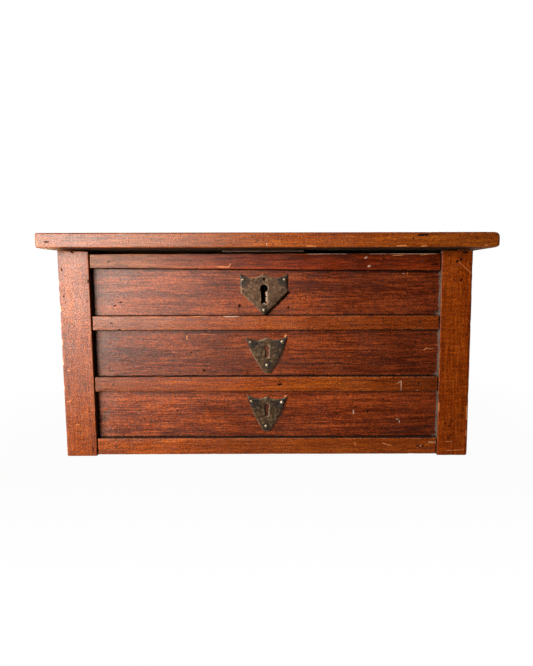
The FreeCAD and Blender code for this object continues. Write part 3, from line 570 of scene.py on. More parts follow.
def finish_piece(shape, name, material, body, nodes):
    """Makes a mesh an object that rides on a body and stands for frame nodes."""
    bmesh.ops.recalc_face_normals(shape, faces=shape.faces[:])
    mesh = bpy.data.meshes.new(name)
    shape.to_mesh(mesh)
    shape.free()
    custom = mesh.attributes.get("custom_normal")
    if custom is not None:
        mesh.attributes.remove(custom)
    mesh.materials.clear()
    mesh.materials.append(material)
    mesh.polygons.foreach_set("use_smooth", [True] * len(mesh.polygons))
    mesh.polygons.foreach_set("material_index", [0] * len(mesh.polygons))
    mesh.set_sharp_from_angle(angle=SMOOTH_ANGLE)
    piece = bpy.data.objects.new(name, mesh)
    bpy.context.scene.collection.objects.link(piece)
    weighted = piece.modifiers.new("Even shading", "WEIGHTED_NORMAL")
    weighted.keep_sharp = True
    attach(piece, body)
    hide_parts(*nodes)


def paint(node, material):
    """Gives a frame node a finished material."""
    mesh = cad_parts[node].data
    mesh.materials.clear()
    mesh.materials.append(material)


def put(tree, value, socket):
    """Links a socket to another node's output, or sets it to a plain value."""
    if isinstance(value, bpy.types.NodeSocket):
        tree.links.new(value, socket)
    else:
        socket.default_value = value


def add(tree, kind, inputs=None, **settings):
    """Adds a shader node, sets it up, and links or sets its inputs."""
    node = tree.nodes.new(kind)
    for name, value in settings.items():
        setattr(node, name, value)
    for socket, value in (inputs or {}).items():
        put(tree, value, node.inputs[socket])
    return node


def sum_up(tree, operation, first, second, clamp=False):
    """The result of a sum on two values."""
    node = add(tree, "ShaderNodeMath", {0: first, 1: second}, operation=operation, use_clamp=clamp)
    return node.outputs[0]


def times(tree, first, second):
    """Two values multiplied."""
    return sum_up(tree, "MULTIPLY", first, second)


def plus(tree, first, second):
    """Two values added."""
    return sum_up(tree, "ADD", first, second)


def minus(tree, first, second):
    """The first value less the second."""
    return sum_up(tree, "SUBTRACT", first, second)


def larger(tree, first, second):
    """The larger of two values."""
    return sum_up(tree, "MAXIMUM", first, second)


def smaller(tree, first, second):
    """The smaller of two values."""
    return sum_up(tree, "MINIMUM", first, second)


def vector_sum(tree, operation, first, second=(0.0, 0.0, 0.0)):
    """The result of a sum on one or two vectors."""
    node = add(tree, "ShaderNodeVectorMath", {0: first, 1: second}, operation=operation)
    return node.outputs["Value" if operation in VALUE_SUMS else "Vector"]


def split(tree, vector):
    """The X, Y and Z values of a vector."""
    return tuple(add(tree, "ShaderNodeSeparateXYZ", {0: vector}).outputs)


def fade(tree, value, start, end):
    """A straight step from nothing at the start to one at the end."""
    return add(tree, "ShaderNodeMapRange", {"Value": value, 1: start, 2: end}).outputs[0]


def ease(tree, value, start, end, low=0.0, high=1.0):
    """A smooth step from one value to another."""
    return add(
        tree, "ShaderNodeMapRange", {"Value": value, 1: start, 2: end, 3: low, 4: high},
        interpolation_type="SMOOTHSTEP").outputs[0]


def blend(tree, factor, first, second, way="MIX"):
    """A mix of two colours."""
    inputs = {0: factor, 6: first, 7: second}
    return add(tree, "ShaderNodeMix", inputs, data_type="RGBA", blend_type=way).outputs[2]


def cloud(tree, vector, scale, detail=2.0, roughness=0.55, distortion=0.0):
    """A noise pattern, about one half on average."""
    inputs = {"Vector": vector, "Scale": scale, "Detail": detail}
    inputs.update({"Roughness": roughness, "Distortion": distortion})
    return add(tree, "ShaderNodeTexNoise", inputs).outputs[0]


def stretched(tree, vector, share):
    """A pattern's coordinates, drawn out along the grain."""
    return vector_sum(tree, "MULTIPLY", vector, (share, 1.0, 1.0))


def object_place(tree):
    """The place on the piece's surface, in the shared frame."""
    return add(tree, "ShaderNodeTexCoord").outputs["Object"]


def place_parts(tree):
    """The place on the surface as separate X, Y and Z values."""
    return split(tree, object_place(tree))


def specks(tree, kind, *ends):
    """A noise pattern over the surface, eased between two values: its own, or those given."""
    scale, detail, start, end, *own_ends = SPECKS[kind]
    return ease(tree, cloud(tree, object_place(tree), scale, detail), start, end, *(ends or own_ends))


def depth_inside(tree, low, high):
    """How far inside a box the place on the surface is, as X, Y and Z values."""
    place = object_place(tree)
    from_low = vector_sum(tree, "SUBTRACT", place, low)
    from_high = vector_sum(tree, "SUBTRACT", high, place)
    return split(tree, vector_sum(tree, "MINIMUM", from_low, from_high))


def painted(tree, name):
    """A value painted on the vertices of a mesh."""
    return add(tree, "ShaderNodeAttribute", attribute_name=name).outputs["Fac"]


def start_group(name, inputs, outputs):
    """A new shader node group with named sockets, what it is given and what it makes."""
    group = bpy.data.node_groups.new(name, "ShaderNodeTree")
    for sockets, way in ((inputs, "INPUT"), (outputs, "OUTPUT")):
        for socket, kind in sockets:
            group.interface.new_socket(socket, in_out=way, socket_type="NodeSocket" + kind)
    return group, add(group, "NodeGroupInput").outputs, add(group, "NodeGroupOutput").inputs


def use_group(tree, name, build, inputs):
    """A shared node group in a tree, built the first time it is wanted."""
    group = bpy.data.node_groups.get(name) or build(name)
    return add(tree, "ShaderNodeGroup", inputs, node_tree=group)


def build_grain(name):
    """Growth bands, streaks, hairs, ripples, grit and pores along X, coloured from dark to light."""
    group, given, made = start_group(
        name,
        (
            ("Vector", "Vector"), ("Dark", "Color"), ("Middle", "Color"), ("Light", "Color"),
            ("Contrast", "Float"), ("Ripple", "Float"), ("Grit", "Float"), ("Lines", "Float"),
        ),
        (("Color", "Color"), ("Height", "Float")))
    straight = given["Vector"]
    drift_share, drift_scale = 0.25, 14.0
    drift_reach = (0.0, 0.008, 0.008)
    ripple_shares, ripple_scale = (1.0, 0.12, 0.12), 520.0
    ring_count = 9.0
    thread_share, pore_share = 0.7, 0.6
    grit_scale, grit_roughness = 800.0, 0.7
    pore_shade = (0.30, 0.30, 0.30, 1.0)
    hair_height, pore_depth = 0.5, 0.25
    drifted = stretched(group, straight, drift_share)
    drift = add(group, "ShaderNodeTexNoise", {"Vector": drifted, "Scale": drift_scale})
    swing = vector_sum(group, "MULTIPLY", drift.outputs["Color"], drift_reach)
    place = vector_sum(group, "ADD", straight, swing)
    patterns = {}
    for kind, (share, scale, detail, roughness) in GRAIN_PATTERNS.items():
        patterns[kind] = cloud(group, stretched(group, place, share), scale, detail, roughness)
    across = vector_sum(group, "MULTIPLY", straight, ripple_shares)
    patterns["ripples"] = cloud(group, across, ripple_scale)
    weights = dict(GRAIN_WEIGHTS, ripples=given["Ripple"])
    tone = 0.0
    for kind, weight in weights.items():
        tone = plus(group, tone, times(group, minus(group, patterns[kind], 0.5), weight))
    tone = plus(group, times(group, tone, given["Contrast"]), 0.5)
    colour = blend(group, ease(group, tone, *GRAIN_RANGES["dark"]), given["Dark"], given["Middle"])
    colour = blend(group, ease(group, tone, *GRAIN_RANGES["light"]), colour, given["Light"])
    rings = sum_up(group, "PINGPONG", times(group, patterns["rings"], ring_count), 1.0)
    line = ease(group, rings, *GRAIN_RANGES["rings"])
    broken = ease(group, patterns["breaks"], *GRAIN_RANGES["breaks"])
    thin = ease(group, patterns["threads"], *GRAIN_RANGES["threads"])
    lines = larger(group, times(group, line, broken), times(group, thin, thread_share))
    colour = blend(group, times(group, lines, given["Lines"]), colour, given["Dark"])
    grains = cloud(group, straight, grit_scale, roughness=grit_roughness)
    least = minus(group, 1.0, given["Grit"])
    most = plus(group, 1.0, given["Grit"])
    grit = ease(group, grains, *GRAIN_RANGES["grit"], least, most)
    colour = blend(group, 1.0, colour, grit, "MULTIPLY")
    shaded = blend(group, 1.0, given["Dark"], pore_shade, "MULTIPLY")
    pores = ease(group, patterns["pores"], *GRAIN_RANGES["pores"])
    put(group, blend(group, times(group, pores, pore_share), colour, shaded), made["Color"])
    relief = plus(group, times(group, patterns["hairs"], hair_height), grains)
    put(group, minus(group, relief, times(group, pores, pore_depth)), made["Height"])
    return group


def build_arrises(name):
    """A mask of the rubbed arrises of a board between two corners."""
    group, given, made = start_group(
        name, (("Low", "Vector"), ("High", "Vector"), ("Width", "Float")), (("Wear", "Float"),))
    coarse_scale, fine_scale = 70.0, 420.0
    ragged_start, ragged_end = 0.75, 1.35
    least_width, most_width = 0.25, 2.0
    x, y, z = depth_inside(group, given["Low"], given["High"])
    second = larger(group, smaller(group, x, y), smaller(group, larger(group, x, y), z))
    place = object_place(group)
    ragged = plus(group, cloud(group, place, coarse_scale, 3.0), cloud(group, place, fine_scale))
    width = ease(group, ragged, ragged_start, ragged_end, least_width, most_width)
    put(group, fade(group, second, times(group, given["Width"], width), 0.0), made["Wear"])
    return group


def build_mark(name):
    """A mask of one mark: a ragged stroke from a start to an end."""
    group, given, made = start_group(
        name, (("Start", "Vector"), ("End", "Vector"), ("Width", "Float")), (("Mask", "Float"),))
    core_share = 0.45
    along = vector_sum(group, "SUBTRACT", given["End"], given["Start"])
    reach = vector_sum(group, "SUBTRACT", object_place(group), given["Start"])
    square = vector_sum(group, "DOT_PRODUCT", along, along)
    share = sum_up(group, "DIVIDE", vector_sum(group, "DOT_PRODUCT", reach, along), square, clamp=True)
    on_line = add(group, "ShaderNodeVectorMath", {0: along, "Scale": share}, operation="SCALE").outputs[0]
    gap = vector_sum(group, "DISTANCE", reach, on_line)
    width = times(group, given["Width"], specks(group, "mark_edge"))
    put(group, fade(group, gap, width, times(group, width, core_share)), made["Mask"])
    return group


def build_corners(name):
    """Masks round the edge of one sunk panel: painted shade with some dirt under the rail above, along the
    foot and beside the left stile, and dust along the right side, in the right corners and beside the left
    stile.
    """
    group, given, made = start_group(
        name, (("Low", "Vector"), ("High", "Vector"), ("Slope", "Float")),
        (("Dirt", "Float"), ("Dust", "Float")))
    shake_scale, shake_reach = 150.0, 0.0020
    edge_slack = -0.0005
    top_haze, top_line = (0.0045, 0.40), (0.0020, 0.85)
    foot_haze, foot_line = (0.0030, 0.40), (0.0016, 0.80)
    left_haze, left_line = (0.035, 0.35), (0.0030, 0.70)
    right_line, right_corner = 0.0012, 0.009
    foot_corner, top_corner = (0.007, 1.0), (0.007, 0.5)
    place = object_place(group)
    shake = times(group, minus(group, cloud(group, place, shake_scale, 3.0), 0.5), shake_reach)

    def near(depth, reach, strength=1.0):
        """How near a side is, from a strength at the side to nothing at its reach."""
        return ease(group, plus(group, depth, shake), reach, 0.0, 0.0, strength)

    def either(first, second):
        """The joint strength of two masks."""
        return minus(group, plus(group, first, second), times(group, first, second))

    left, _, foot = split(group, vector_sum(group, "SUBTRACT", place, given["Low"]))
    right, _, height = split(group, vector_sum(group, "SUBTRACT", given["High"], place))
    top = plus(group, height, times(group, right, given["Slope"]))
    over_foot = sum_up(group, "GREATER_THAN", foot, edge_slack)
    under_top = sum_up(group, "GREATER_THAN", top, edge_slack)
    inside = times(group, over_foot, under_top)
    # Painted shade: the shadow under the rail above, a dark line along the foot and the shadow of the left
    # stile, with some dirt in them
    above = either(near(top, *top_haze), near(top, *top_line))
    below = either(near(foot, *foot_haze), near(foot, *foot_line))
    shade_and_dirt = either(near(left, *left_line), either(above, below))
    ends = larger(group, near(foot, *foot_corner), near(top, *top_corner))
    corners = times(group, near(right, right_corner), ends)
    dust = either(either(near(right, right_line), corners), near(left, *left_haze))
    put(group, times(group, shade_and_dirt, inside), made["Dirt"])
    put(group, times(group, dust, inside), made["Dust"])
    return group


def build_tarnish(name):
    """Blotches and fine pitting of old metal, coloured from dark to light."""
    group, given, made = start_group(
        name, (("Dark", "Color"), ("Middle", "Color"), ("Bloom", "Color"), ("Cover", "Float")),
        (("Color", "Color"), ("Pits", "Float"), ("Rough", "Float")))
    blotch_scale, grit_scale, scratch_scale = 120.0, 520.0, 800.0
    dark_end, middle_start = 0.42, 0.56
    scratch_shares = (1.0, 1.0, 0.22)
    less, more = 0.4, 0.6
    place = object_place(group)
    blotches = cloud(group, place, blotch_scale, 4.0, 0.65, 0.5)
    scratches = cloud(group, vector_sum(group, "MULTIPLY", place, scratch_shares), scratch_scale)
    grains = cloud(group, place, grit_scale, 3.0, 0.65)
    grit = plus(group, times(group, grains, more), times(group, scratches, less))
    tone = plus(group, times(group, blotches, less), times(group, grit, more))
    colour = blend(group, ease(group, tone, dark_end, middle_start), given["Dark"], given["Middle"])
    bloom = times(group, specks(group, "bloom"), given["Cover"])
    put(group, blend(group, bloom, colour, given["Bloom"]), made["Color"])
    put(group, specks(group, "pits"), made["Pits"])
    put(group, grit, made["Rough"])
    return group


def empty_tree(owner):
    """The cleared node tree of a material or a world."""
    owner.use_nodes = True
    owner.node_tree.nodes.clear()
    return owner.node_tree


def new_material(name):
    """An empty node material with its surface shader."""
    material = bpy.data.materials.new(name)
    tree = empty_tree(material)
    shader = add(tree, "ShaderNodeBsdfPrincipled")
    add(tree, "ShaderNodeOutputMaterial", {"Surface": shader.outputs[0]})
    return material, tree, shader


def grain_colour(tree, wood, finish, axis, shift):
    """The grain group set up for one board."""
    turned = add(
        tree, "ShaderNodeMapping",
        {"Vector": object_place(tree), "Rotation": GRAIN_TURNS[axis], "Location": shift}).outputs[0]
    contrast, ripple, grit, lines = GRAIN_LOOKS[finish]
    tones = "frame" if finish in ("stile", "lid") else finish
    inputs = {"Vector": turned, "Contrast": contrast, "Ripple": ripple, "Grit": grit, "Lines": lines}
    for tone in ("dark", "middle", "light"):
        inputs[tone.capitalize()] = opaque(getattr(wood, tones + "_" + tone))
    return use_group(tree, "Wood grain", build_grain, inputs)


def own_shift(shift, index):
    """The shift of the grain pattern for one board of a set."""
    return (shift[0] * index, shift[1], shift[2] * index)


def tint_along(tree, colour, stops):
    """A colour tinted along X, from stops of (x, tint): painted light and shade across a board, with its own
    tone.
    """
    low, high = stops[0][0], stops[-1][0]
    ramp = add(tree, "ShaderNodeValToRGB", {0: fade(tree, place_parts(tree)[0], low, high)})
    elements = ramp.color_ramp.elements
    for place, _ in stops[1:-1]:
        elements.new((place - low) / (high - low))
    for element, (_, tint) in zip(elements, stops):
        element.color = opaque(tint)
    return blend(tree, 1.0, colour, ramp.outputs[0], "MULTIPLY")


def mark_mask(tree, marks, depth, spread):
    """The joint mask of a board's marks of one tone."""
    mask = 0.0
    for mark in marks:
        start_x, start_z, end_x, end_z, width = (MILLIMETRE * value for value in mark)
        stroke = {
            "Start": (start_x, depth, start_z),
            "End": (end_x, depth, end_z),
            "Width": width * spread,
        }
        mask = larger(tree, mask, use_group(tree, "Mark", build_mark, stroke).outputs["Mask"])
    return mask


def add_marks(tree, wood, colour, node):
    """A board's colour with its holes, rubs, scratches and stains and the shadows painted among its marks,
    and the mask of its dark marks, which holds holes and painted shadows.
    """
    paints = {
        "stain_and_shade": wood.grime_and_shade, "dark": wood.grime_and_shade, "bare": wood.bare, "pale": wood.pale, "fresh": wood.fresh,
    }
    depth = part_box(node)[0].y
    masks = {}
    for tone, marks in MARKS[node].items():
        masks[tone] = mark_mask(tree, marks, depth, MARK_SPREADS.get(tone, 1.0))
        shown = times(tree, masks[tone], MARK_STRENGTHS[tone])
        colour = blend(tree, shown, colour, opaque(paints[tone]))
    return colour, masks["dark"]


def dress_wood(tree, shader, wood, colour, grain, dry, gloss, holes_and_shadows=0.0):
    """Links a wood's colour, gloss and relief to its surface shader; its holes and painted shadows take no
    gloss.
    """
    smoother, rougher = 0.05, 0.07
    bump_strength, bump_height = 0.62, 0.0005
    gloss_roughness = wood.gloss_roughness
    polish = specks(tree, "polish", gloss_roughness - smoother, gloss_roughness + rougher)
    roughness = plus(tree, polish, times(tree, dry, wood.dry_roughness - gloss_roughness))
    relief = add(
        tree, "ShaderNodeBump",
        {"Strength": bump_strength, "Distance": bump_height, "Height": grain.outputs["Height"]})
    put(tree, colour, shader.inputs["Base Color"])
    put(tree, larger(tree, roughness, holes_and_shadows), shader.inputs["Roughness"])
    put(tree, holes_and_shadows, shader.inputs["Metallic"])
    put(tree, relief.outputs[0], shader.inputs["Normal"])
    put(tree, wood.specular * gloss, shader.inputs["Specular IOR Level"])


def rubbed(tree, wood, node, strength):
    """A mask of the rubbed arrises of a board."""
    low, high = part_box(node)
    inputs = {"Low": low, "High": high, "Width": wood.arris_width}
    arris = use_group(tree, "Worn arrises", build_arrises, inputs)
    return times(tree, arris.outputs["Wear"], strength)


def board_material(node, wood, finish, axis, shift, shade, *shade_values):
    """A polished board: grain with painted light and shade tinted along it, rubbed arrises, marks, and the
    mask and colour that shade gives: painted shade and painted light under the lid, painted shade with grime
    on a stile's inner side, grime and dust on a rail.
    """
    material, tree, shader = new_material(node + "_wood")
    rub_strength, bare_share = 0.60, 0.45
    grain = grain_colour(tree, wood, finish, axis, shift)
    # Painted light and shade along the board, with its own tone
    tinted = tint_along(tree, grain.outputs["Color"], LIGHT_AND_TONE_TINTS[node])
    worn = rubbed(tree, wood, node, rub_strength)
    lifted = blend(tree, bare_share, tinted, opaque(wood.bare))
    colour, holes_and_shadows = add_marks(tree, wood, blend(tree, worn, tinted, lifted), node)
    mask, shade_colour = shade(tree, wood, *shade_values)
    colour = blend(tree, mask, colour, shade_colour)
    dry = larger(tree, larger(tree, worn, holes_and_shadows), mask)
    dress_wood(tree, shader, wood, colour, grain, dry, GLOSS_SHARES[node], holes_and_shadows)
    return material


def lid_shade(tree, wood):
    """The mask and colour of the lid's underside, where the polish stops, with painted shade darkening the
    overhang over the gap and painted light on the front corners under the overhanging ends.
    """
    ragged_scale, ragged_reach = 90.0, 0.004
    overhang_shade_share = 0.65
    under_start, under_end = LID_LOW.z + 0.0012, LID_LOW.z + 0.0004
    side_start, side_end = RIGHT_INSIDE + 0.004, RIGHT_INSIDE + 0.008
    overhang_start = STILE_FACE + 0.0015
    front_start, front_end = STILE_FACE + 0.020, STILE_FACE + 0.006
    left_start, left_end = LID_LOW.x + 0.030, LID_LOW.x + 0.012
    right_start, right_end = LID_HIGH.x - 0.034, LID_HIGH.x - 0.020
    x, y, z = place_parts(tree)
    under = ease(tree, z, under_start, under_end)
    plain = grain_colour(tree, wood, "inside", "x", UNDERSIDE_SHIFT).outputs["Color"]
    polished = grain_colour(tree, wood, "board", "x", LID_SHIFT).outputs["Color"]
    pattern = cloud(tree, object_place(tree), ragged_scale, 3.0)
    ragged = times(tree, minus(tree, pattern, 0.5), ragged_reach)
    forward = plus(tree, y, ragged)
    sideways = plus(tree, sum_up(tree, "ABSOLUTE", x, 0.0), ragged)
    beyond = ease(tree, sideways, side_start, side_end)
    shaded = blend(tree, beyond, plain, polished)
    # Painted shade: the underside of the front overhang, over the gap, is darkened towards the grime colour
    overhang = ease(tree, forward, overhang_start, STILE_FACE)
    shaded = blend(tree, overhang, shaded, blend(tree, overhang_shade_share, polished, opaque(wood.grime_and_shade)))
    # Painted light: pale patches at the front corners under the overhanging ends of the lid
    near_front = ease(tree, forward, front_start, front_end)
    ends = ((left_start, left_end, wood.fresh), (right_start, right_end, wood.frame_light))
    for start, end, shown in ends:
        corner = times(tree, ease(tree, x, start, end), near_front)
        shaded = blend(tree, corner, shaded, opaque(shown))
    return under, shaded


def side_shade_and_grime(tree, wood, start, end):
    """The mask and colour of a stile's inner side: painted shade with grime in the recess beside the panels,
    and dust where it faces the light.
    """
    facing_light = end < start
    dust_share = 0.50 if facing_light else 0.0
    grime_start, grime_end = STILE_FACE + 0.0010, STILE_FACE + 0.0026
    x, y, _ = place_parts(tree)
    deep = ease(tree, y, grime_start, grime_end)
    dusty = times(tree, specks(tree, "stile_dust"), dust_share)
    colour = blend(tree, dusty, opaque(wood.grime_and_shade), opaque(wood.dust))
    return times(tree, deep, ease(tree, x, start, end)), colour


def rail_grime(tree, wood):
    """The mask and colour of a rail's top and foot, dark with grime and specked with dust."""
    dust_share = 0.20
    grime_start, grime_end = RAIL_FACE + 0.0010, RAIL_FACE + 0.0030
    deep = ease(tree, place_parts(tree)[1], grime_start, grime_end)
    dusty = times(tree, specks(tree, "rail_dust"), dust_share)
    return deep, blend(tree, dusty, opaque(wood.grime_and_shade), opaque(wood.dust))


def plain_inside(tree, wood, colour, axis):
    """A board's colour with its inside left unpolished, and the mask of that inside."""
    margin = Vector((0.0003, 0.0003, 0.0003))
    x, y, z = depth_inside(tree, HOLLOW_LOW - margin, HOLLOW_HIGH + margin)
    inside = sum_up(tree, "GREATER_THAN", smaller(tree, smaller(tree, x, y), z), 0.0)
    grain = grain_colour(tree, wood, "inside", axis, INSIDE_SHIFT)
    return blend(tree, inside, colour, grain.outputs["Color"]), inside


def panel_material(wood):
    """The front board: redder panels with painted shade and some dirt round their edges, dust in their
    corners, painted shade in the keyhole's bore, and a plain inside.
    """
    material, tree, shader = new_material("panel_wood")
    bottom_tint, middle_tint, top_gain = 1.08, 0.87, 0.06
    shade_and_dirt_share, dust_share = 0.88, 0.60
    black_start, black_end = 0.50, 0.85
    bore_reach = 0.024
    bore_start, bore_end = PANEL_FACE + 0.0004, PANEL_FACE + 0.0012
    grain = grain_colour(tree, wood, "panel", "x", PANEL_SHIFT)
    # Painted light and shade along the front board, with its own tone
    tinted = tint_along(tree, grain.outputs["Color"], LIGHT_AND_TONE_TINTS["front_board"])
    _, depth, height = place_parts(tree)
    bottom, middle, top = PANEL_LEVELS
    lower = ease(tree, height, bottom[1], middle[0], bottom_tint, middle_tint)
    upper = ease(tree, height, middle[1], top[0], 0.0, top_gain)
    tinted = blend(tree, 1.0, tinted, plus(tree, lower, upper), "MULTIPLY")
    colour, holes_and_shadows = add_marks(tree, wood, tinted, "front_board")
    shade_and_dirt = 0.0
    dust = 0.0
    for level in PANEL_LEVELS:
        inputs = {
            "Low": (LEFT_OPENING, PANEL_FACE, level[0]),
            "High": (RIGHT_OPENING, PANEL_FACE, level[1]),
            "Slope": TOP_RAIL_SLOPE if level == top else 0.0,
        }
        corner = use_group(tree, "Panel corners", build_corners, inputs)
        shade_and_dirt = larger(tree, shade_and_dirt, corner.outputs["Dirt"])
        dust = larger(tree, dust, corner.outputs["Dust"])
    dusty = times(tree, dust, times(tree, specks(tree, "panel_dust"), dust_share))
    # Painted shade round each panel's edge, in the grime colour, then dust
    colour = blend(tree, times(tree, shade_and_dirt, shade_and_dirt_share), colour, opaque(wood.grime_and_shade))
    colour = blend(tree, dusty, colour, opaque(wood.dust))
    # Painted shade on the walls of the keyhole's bore in the front board, near the lock
    lock_gap = vector_sum(tree, "DISTANCE", object_place(tree), KEYHOLE_PLACE)
    sunk = ease(tree, depth, bore_start, bore_end)
    bore = times(tree, sunk, sum_up(tree, "LESS_THAN", lock_gap, bore_reach))
    colour = blend(tree, bore, colour, opaque(wood.grime_and_shade))
    colour, dry = plain_inside(tree, wood, colour, "x")
    dull = larger(tree, holes_and_shadows, larger(tree, dry, dusty))
    # The dark marks and the deepest painted shade take no gloss, so they stay black
    black = larger(tree, holes_and_shadows, ease(tree, shade_and_dirt, black_start, black_end))
    dress_wood(tree, shader, wood, colour, grain, dull, GLOSS_SHARES["front_board"], black)
    return material


def carcass_material(node, wood, axis, shift):
    """A carcass board: polished outside, unpolished inside."""
    material, tree, shader = new_material(node + "_wood")
    rub_strength, scuff_share = 0.5, 0.6
    scuff_height = 0.020
    grain = grain_colour(tree, wood, "board", axis, shift)
    worn = rubbed(tree, wood, node, rub_strength)
    colour = blend(tree, worn, grain.outputs["Color"], opaque(wood.bare))
    foot = ease(tree, place_parts(tree)[2], scuff_height, 0.0)
    scuffed = times(tree, foot, specks(tree, "scuffs"))
    colour = blend(tree, times(tree, scuffed, scuff_share), colour, opaque(wood.grime_and_shade))
    colour, dry = plain_inside(tree, wood, colour, axis)
    dress_wood(tree, shader, wood, colour, grain, larger(tree, dry, worn), GLOSS_SHARES["carcass"])
    return material


def tarnish(tree, dark, middle, bloom, cover):
    """The tarnish group set up for one metal."""
    inputs = {"Dark": opaque(dark), "Middle": opaque(middle), "Bloom": opaque(bloom), "Cover": cover}
    return use_group(tree, "Tarnish", build_tarnish, inputs)


def dress_metal(tree, shader, colour, old, roughness, metallic):
    """Links a metal's colour, gloss and pitting to its surface shader."""
    smoother, rougher = 0.08, 0.12
    bump_strength, bump_height = 0.50, 0.0004
    grit_height, grit_start, grit_end = 0.6, 0.30, 0.70
    grit = old.outputs["Rough"]
    rough = ease(tree, grit, grit_start, grit_end, roughness - smoother, roughness + rougher)
    height = minus(tree, times(tree, grit, grit_height), old.outputs["Pits"])
    relief = add(
        tree, "ShaderNodeBump", {"Strength": bump_strength, "Distance": bump_height, "Height": height})
    put(tree, colour, shader.inputs["Base Color"])
    put(tree, rough, shader.inputs["Roughness"])
    put(tree, relief.outputs[0], shader.inputs["Normal"])
    put(tree, metallic, shader.inputs["Metallic"])


def plate_material(name, metal, dark, middle):
    """Escutcheon brass: tarnished, rubbed a little along its edges, which also paints the highlight on them,
    black round its tacks with soot and painted shade, and with a painted highlight beside its keyhole.
    """
    material, tree, shader = new_material(name)
    bright_cover, soot_and_shade_share, brass_share = 0.32, 0.9, 0.6
    glint_start, glint_end = 0.10, 0.60
    old = tarnish(tree, dark, middle, metal.brass_light, bright_cover)
    ragged = specks(tree, "plate_edge_breaks")
    # Brass rubbed bright along the outline, which also paints the highlight on the plate's edges
    rim = times(tree, painted(tree, "rim"), ragged)
    colour = blend(tree, rim, old.outputs["Color"], opaque(metal.brass_light))
    # Soot round the tacks, with a ring of painted shade at the foot of each tack
    halo = times(tree, painted(tree, "halo"), soot_and_shade_share)
    colour = blend(tree, halo, colour, opaque(metal.soot))
    # Painted highlight along the right side of the keyhole
    glinted = times(tree, ease(tree, painted(tree, "glint"), glint_start, glint_end), ragged)
    colour = blend(tree, glinted, colour, opaque(metal.keyhole_glint_brass))
    rusty = specks(tree, "plate_rust")
    flaked = blend(tree, rusty, opaque(metal.brass_light), opaque(metal.iron_dark))
    colour = blend(tree, painted(tree, "wall"), colour, flaked)
    dress_metal(tree, shader, colour, old, metal.brass_roughness, brass_share)
    return material


def metal_material(name, dark, middle, bloom, cover, roughness, metallic):
    """Plain old metal."""
    material, tree, shader = new_material(name)
    old = tarnish(tree, dark, middle, bloom, cover)
    dress_metal(tree, shader, old.outputs["Color"], old, roughness, metallic)
    return material


def iron_material(metal):
    """Dark iron with a rust bloom, made once."""
    name = "old_iron"
    rust_cover, iron_share = 0.7, 0.6
    return bpy.data.materials.get(name) or metal_material(
        name, metal.iron_dark, metal.iron_middle, metal.rust, rust_cover, metal.iron_roughness, iron_share)


def link_material(metal):
    """The link plate: brown iron with painted shade as a black band along its lower edge, and a painted
    highlight as a bright line just over it.
    """
    material, tree, shader = new_material("link_iron")
    rust_cover, iron_share = 0.5, 0.85
    black_end, black_start = 0.0008, 0.0010
    bright_end, bright_start = 0.0015, 0.0020
    old = tarnish(tree, metal.iron_dark, metal.dull_dark, metal.rust, rust_cover)
    height = minus(tree, place_parts(tree)[2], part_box("link_plate")[0].z)
    over_black = ease(tree, height, black_end, black_start)
    line = times(tree, ease(tree, height, bright_start, bright_end), over_black)
    bright = times(tree, line, specks(tree, "link_highlight_breaks"))
    # Painted highlight: a bright line along the lower edge, broken by noise
    colour = blend(tree, bright, old.outputs["Color"], opaque(metal.iron_edge_highlight))
    # Painted shade: a black band along the foot of the plate, over the gap beneath it
    colour = blend(tree, ease(tree, height, black_start, black_end), colour, opaque(metal.iron_dark))
    dress_metal(tree, shader, colour, old, metal.iron_roughness, iron_share)
    return material


def round_end(shape, node, outward, foot_radius, top_radius):
    """Wears one end of a board round at foot and top; outward is 1 at the right and -1 at the left."""
    steps = 6
    low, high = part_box(node)
    end = high.x if outward > 0.0 else low.x
    radius = max(foot_radius, top_radius)
    cut_across(shape, 0, [end - outward * radius * step / steps for step in range(1, steps + 1)])
    cut_across(shape, 2, [low.z + foot_radius * step / steps for step in range(1, steps + 1)])
    cut_across(shape, 2, [high.z - top_radius * step / steps for step in range(1, steps + 1)])
    for vert in shape.verts:
        for reach, edge, side in ((foot_radius, low.z, 1.0), (top_radius, high.z, -1.0)):
            across = reach - outward * (end - vert.co.x)
            upward = reach - side * (vert.co.z - edge)
            distance = math.hypot(across, upward)
            if across > 0.0 and upward > 0.0 and distance > reach:
                vert.co.x = end - outward * (reach - across * reach / distance)
                vert.co.z = edge + side * (reach - upward * reach / distance)


def lift_top(shape, node, lift):
    """Raises the left corner of a board's top, where the saw ran out of square."""
    slack = 0.0010
    low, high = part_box(node)
    for vert in shape.verts:
        if vert.co.z > high.z - slack:
            vert.co.z += lift * (high.x - vert.co.x) / (high.x - low.x)


def split_keyhole(shape, splinter):
    """Leaves ragged splinters at the right and the foot of the keyhole in the front board."""
    step = 0.0006
    slack = 0.0002
    pitch, contrast = 480.0, 1.3
    least_share, foot_share = 0.10, 0.6
    cut_across(shape, 2, even_places(SLOT_FOOT, SLOT_TOP, step))
    cut_across(shape, 0, even_places(SLOT_LEFT, SLOT_RIGHT, step))
    for vert in shape.verts:
        place = vert.co
        if place.y > PANEL_FACE + slack or not SLOT_FOOT - slack < place.z < SLOT_TOP:
            continue
        ragged = min(1.0, max(0.0, 0.5 + contrast * noise.noise(place * pitch)))
        if abs(place.x - SLOT_RIGHT) < slack:
            place.x -= splinter * (least_share + (1.0 - least_share) * ragged)
        elif abs(place.z - SLOT_FOOT) < slack and SLOT_LEFT < place.x < SLOT_RIGHT:
            place.z += foot_share * splinter * ragged


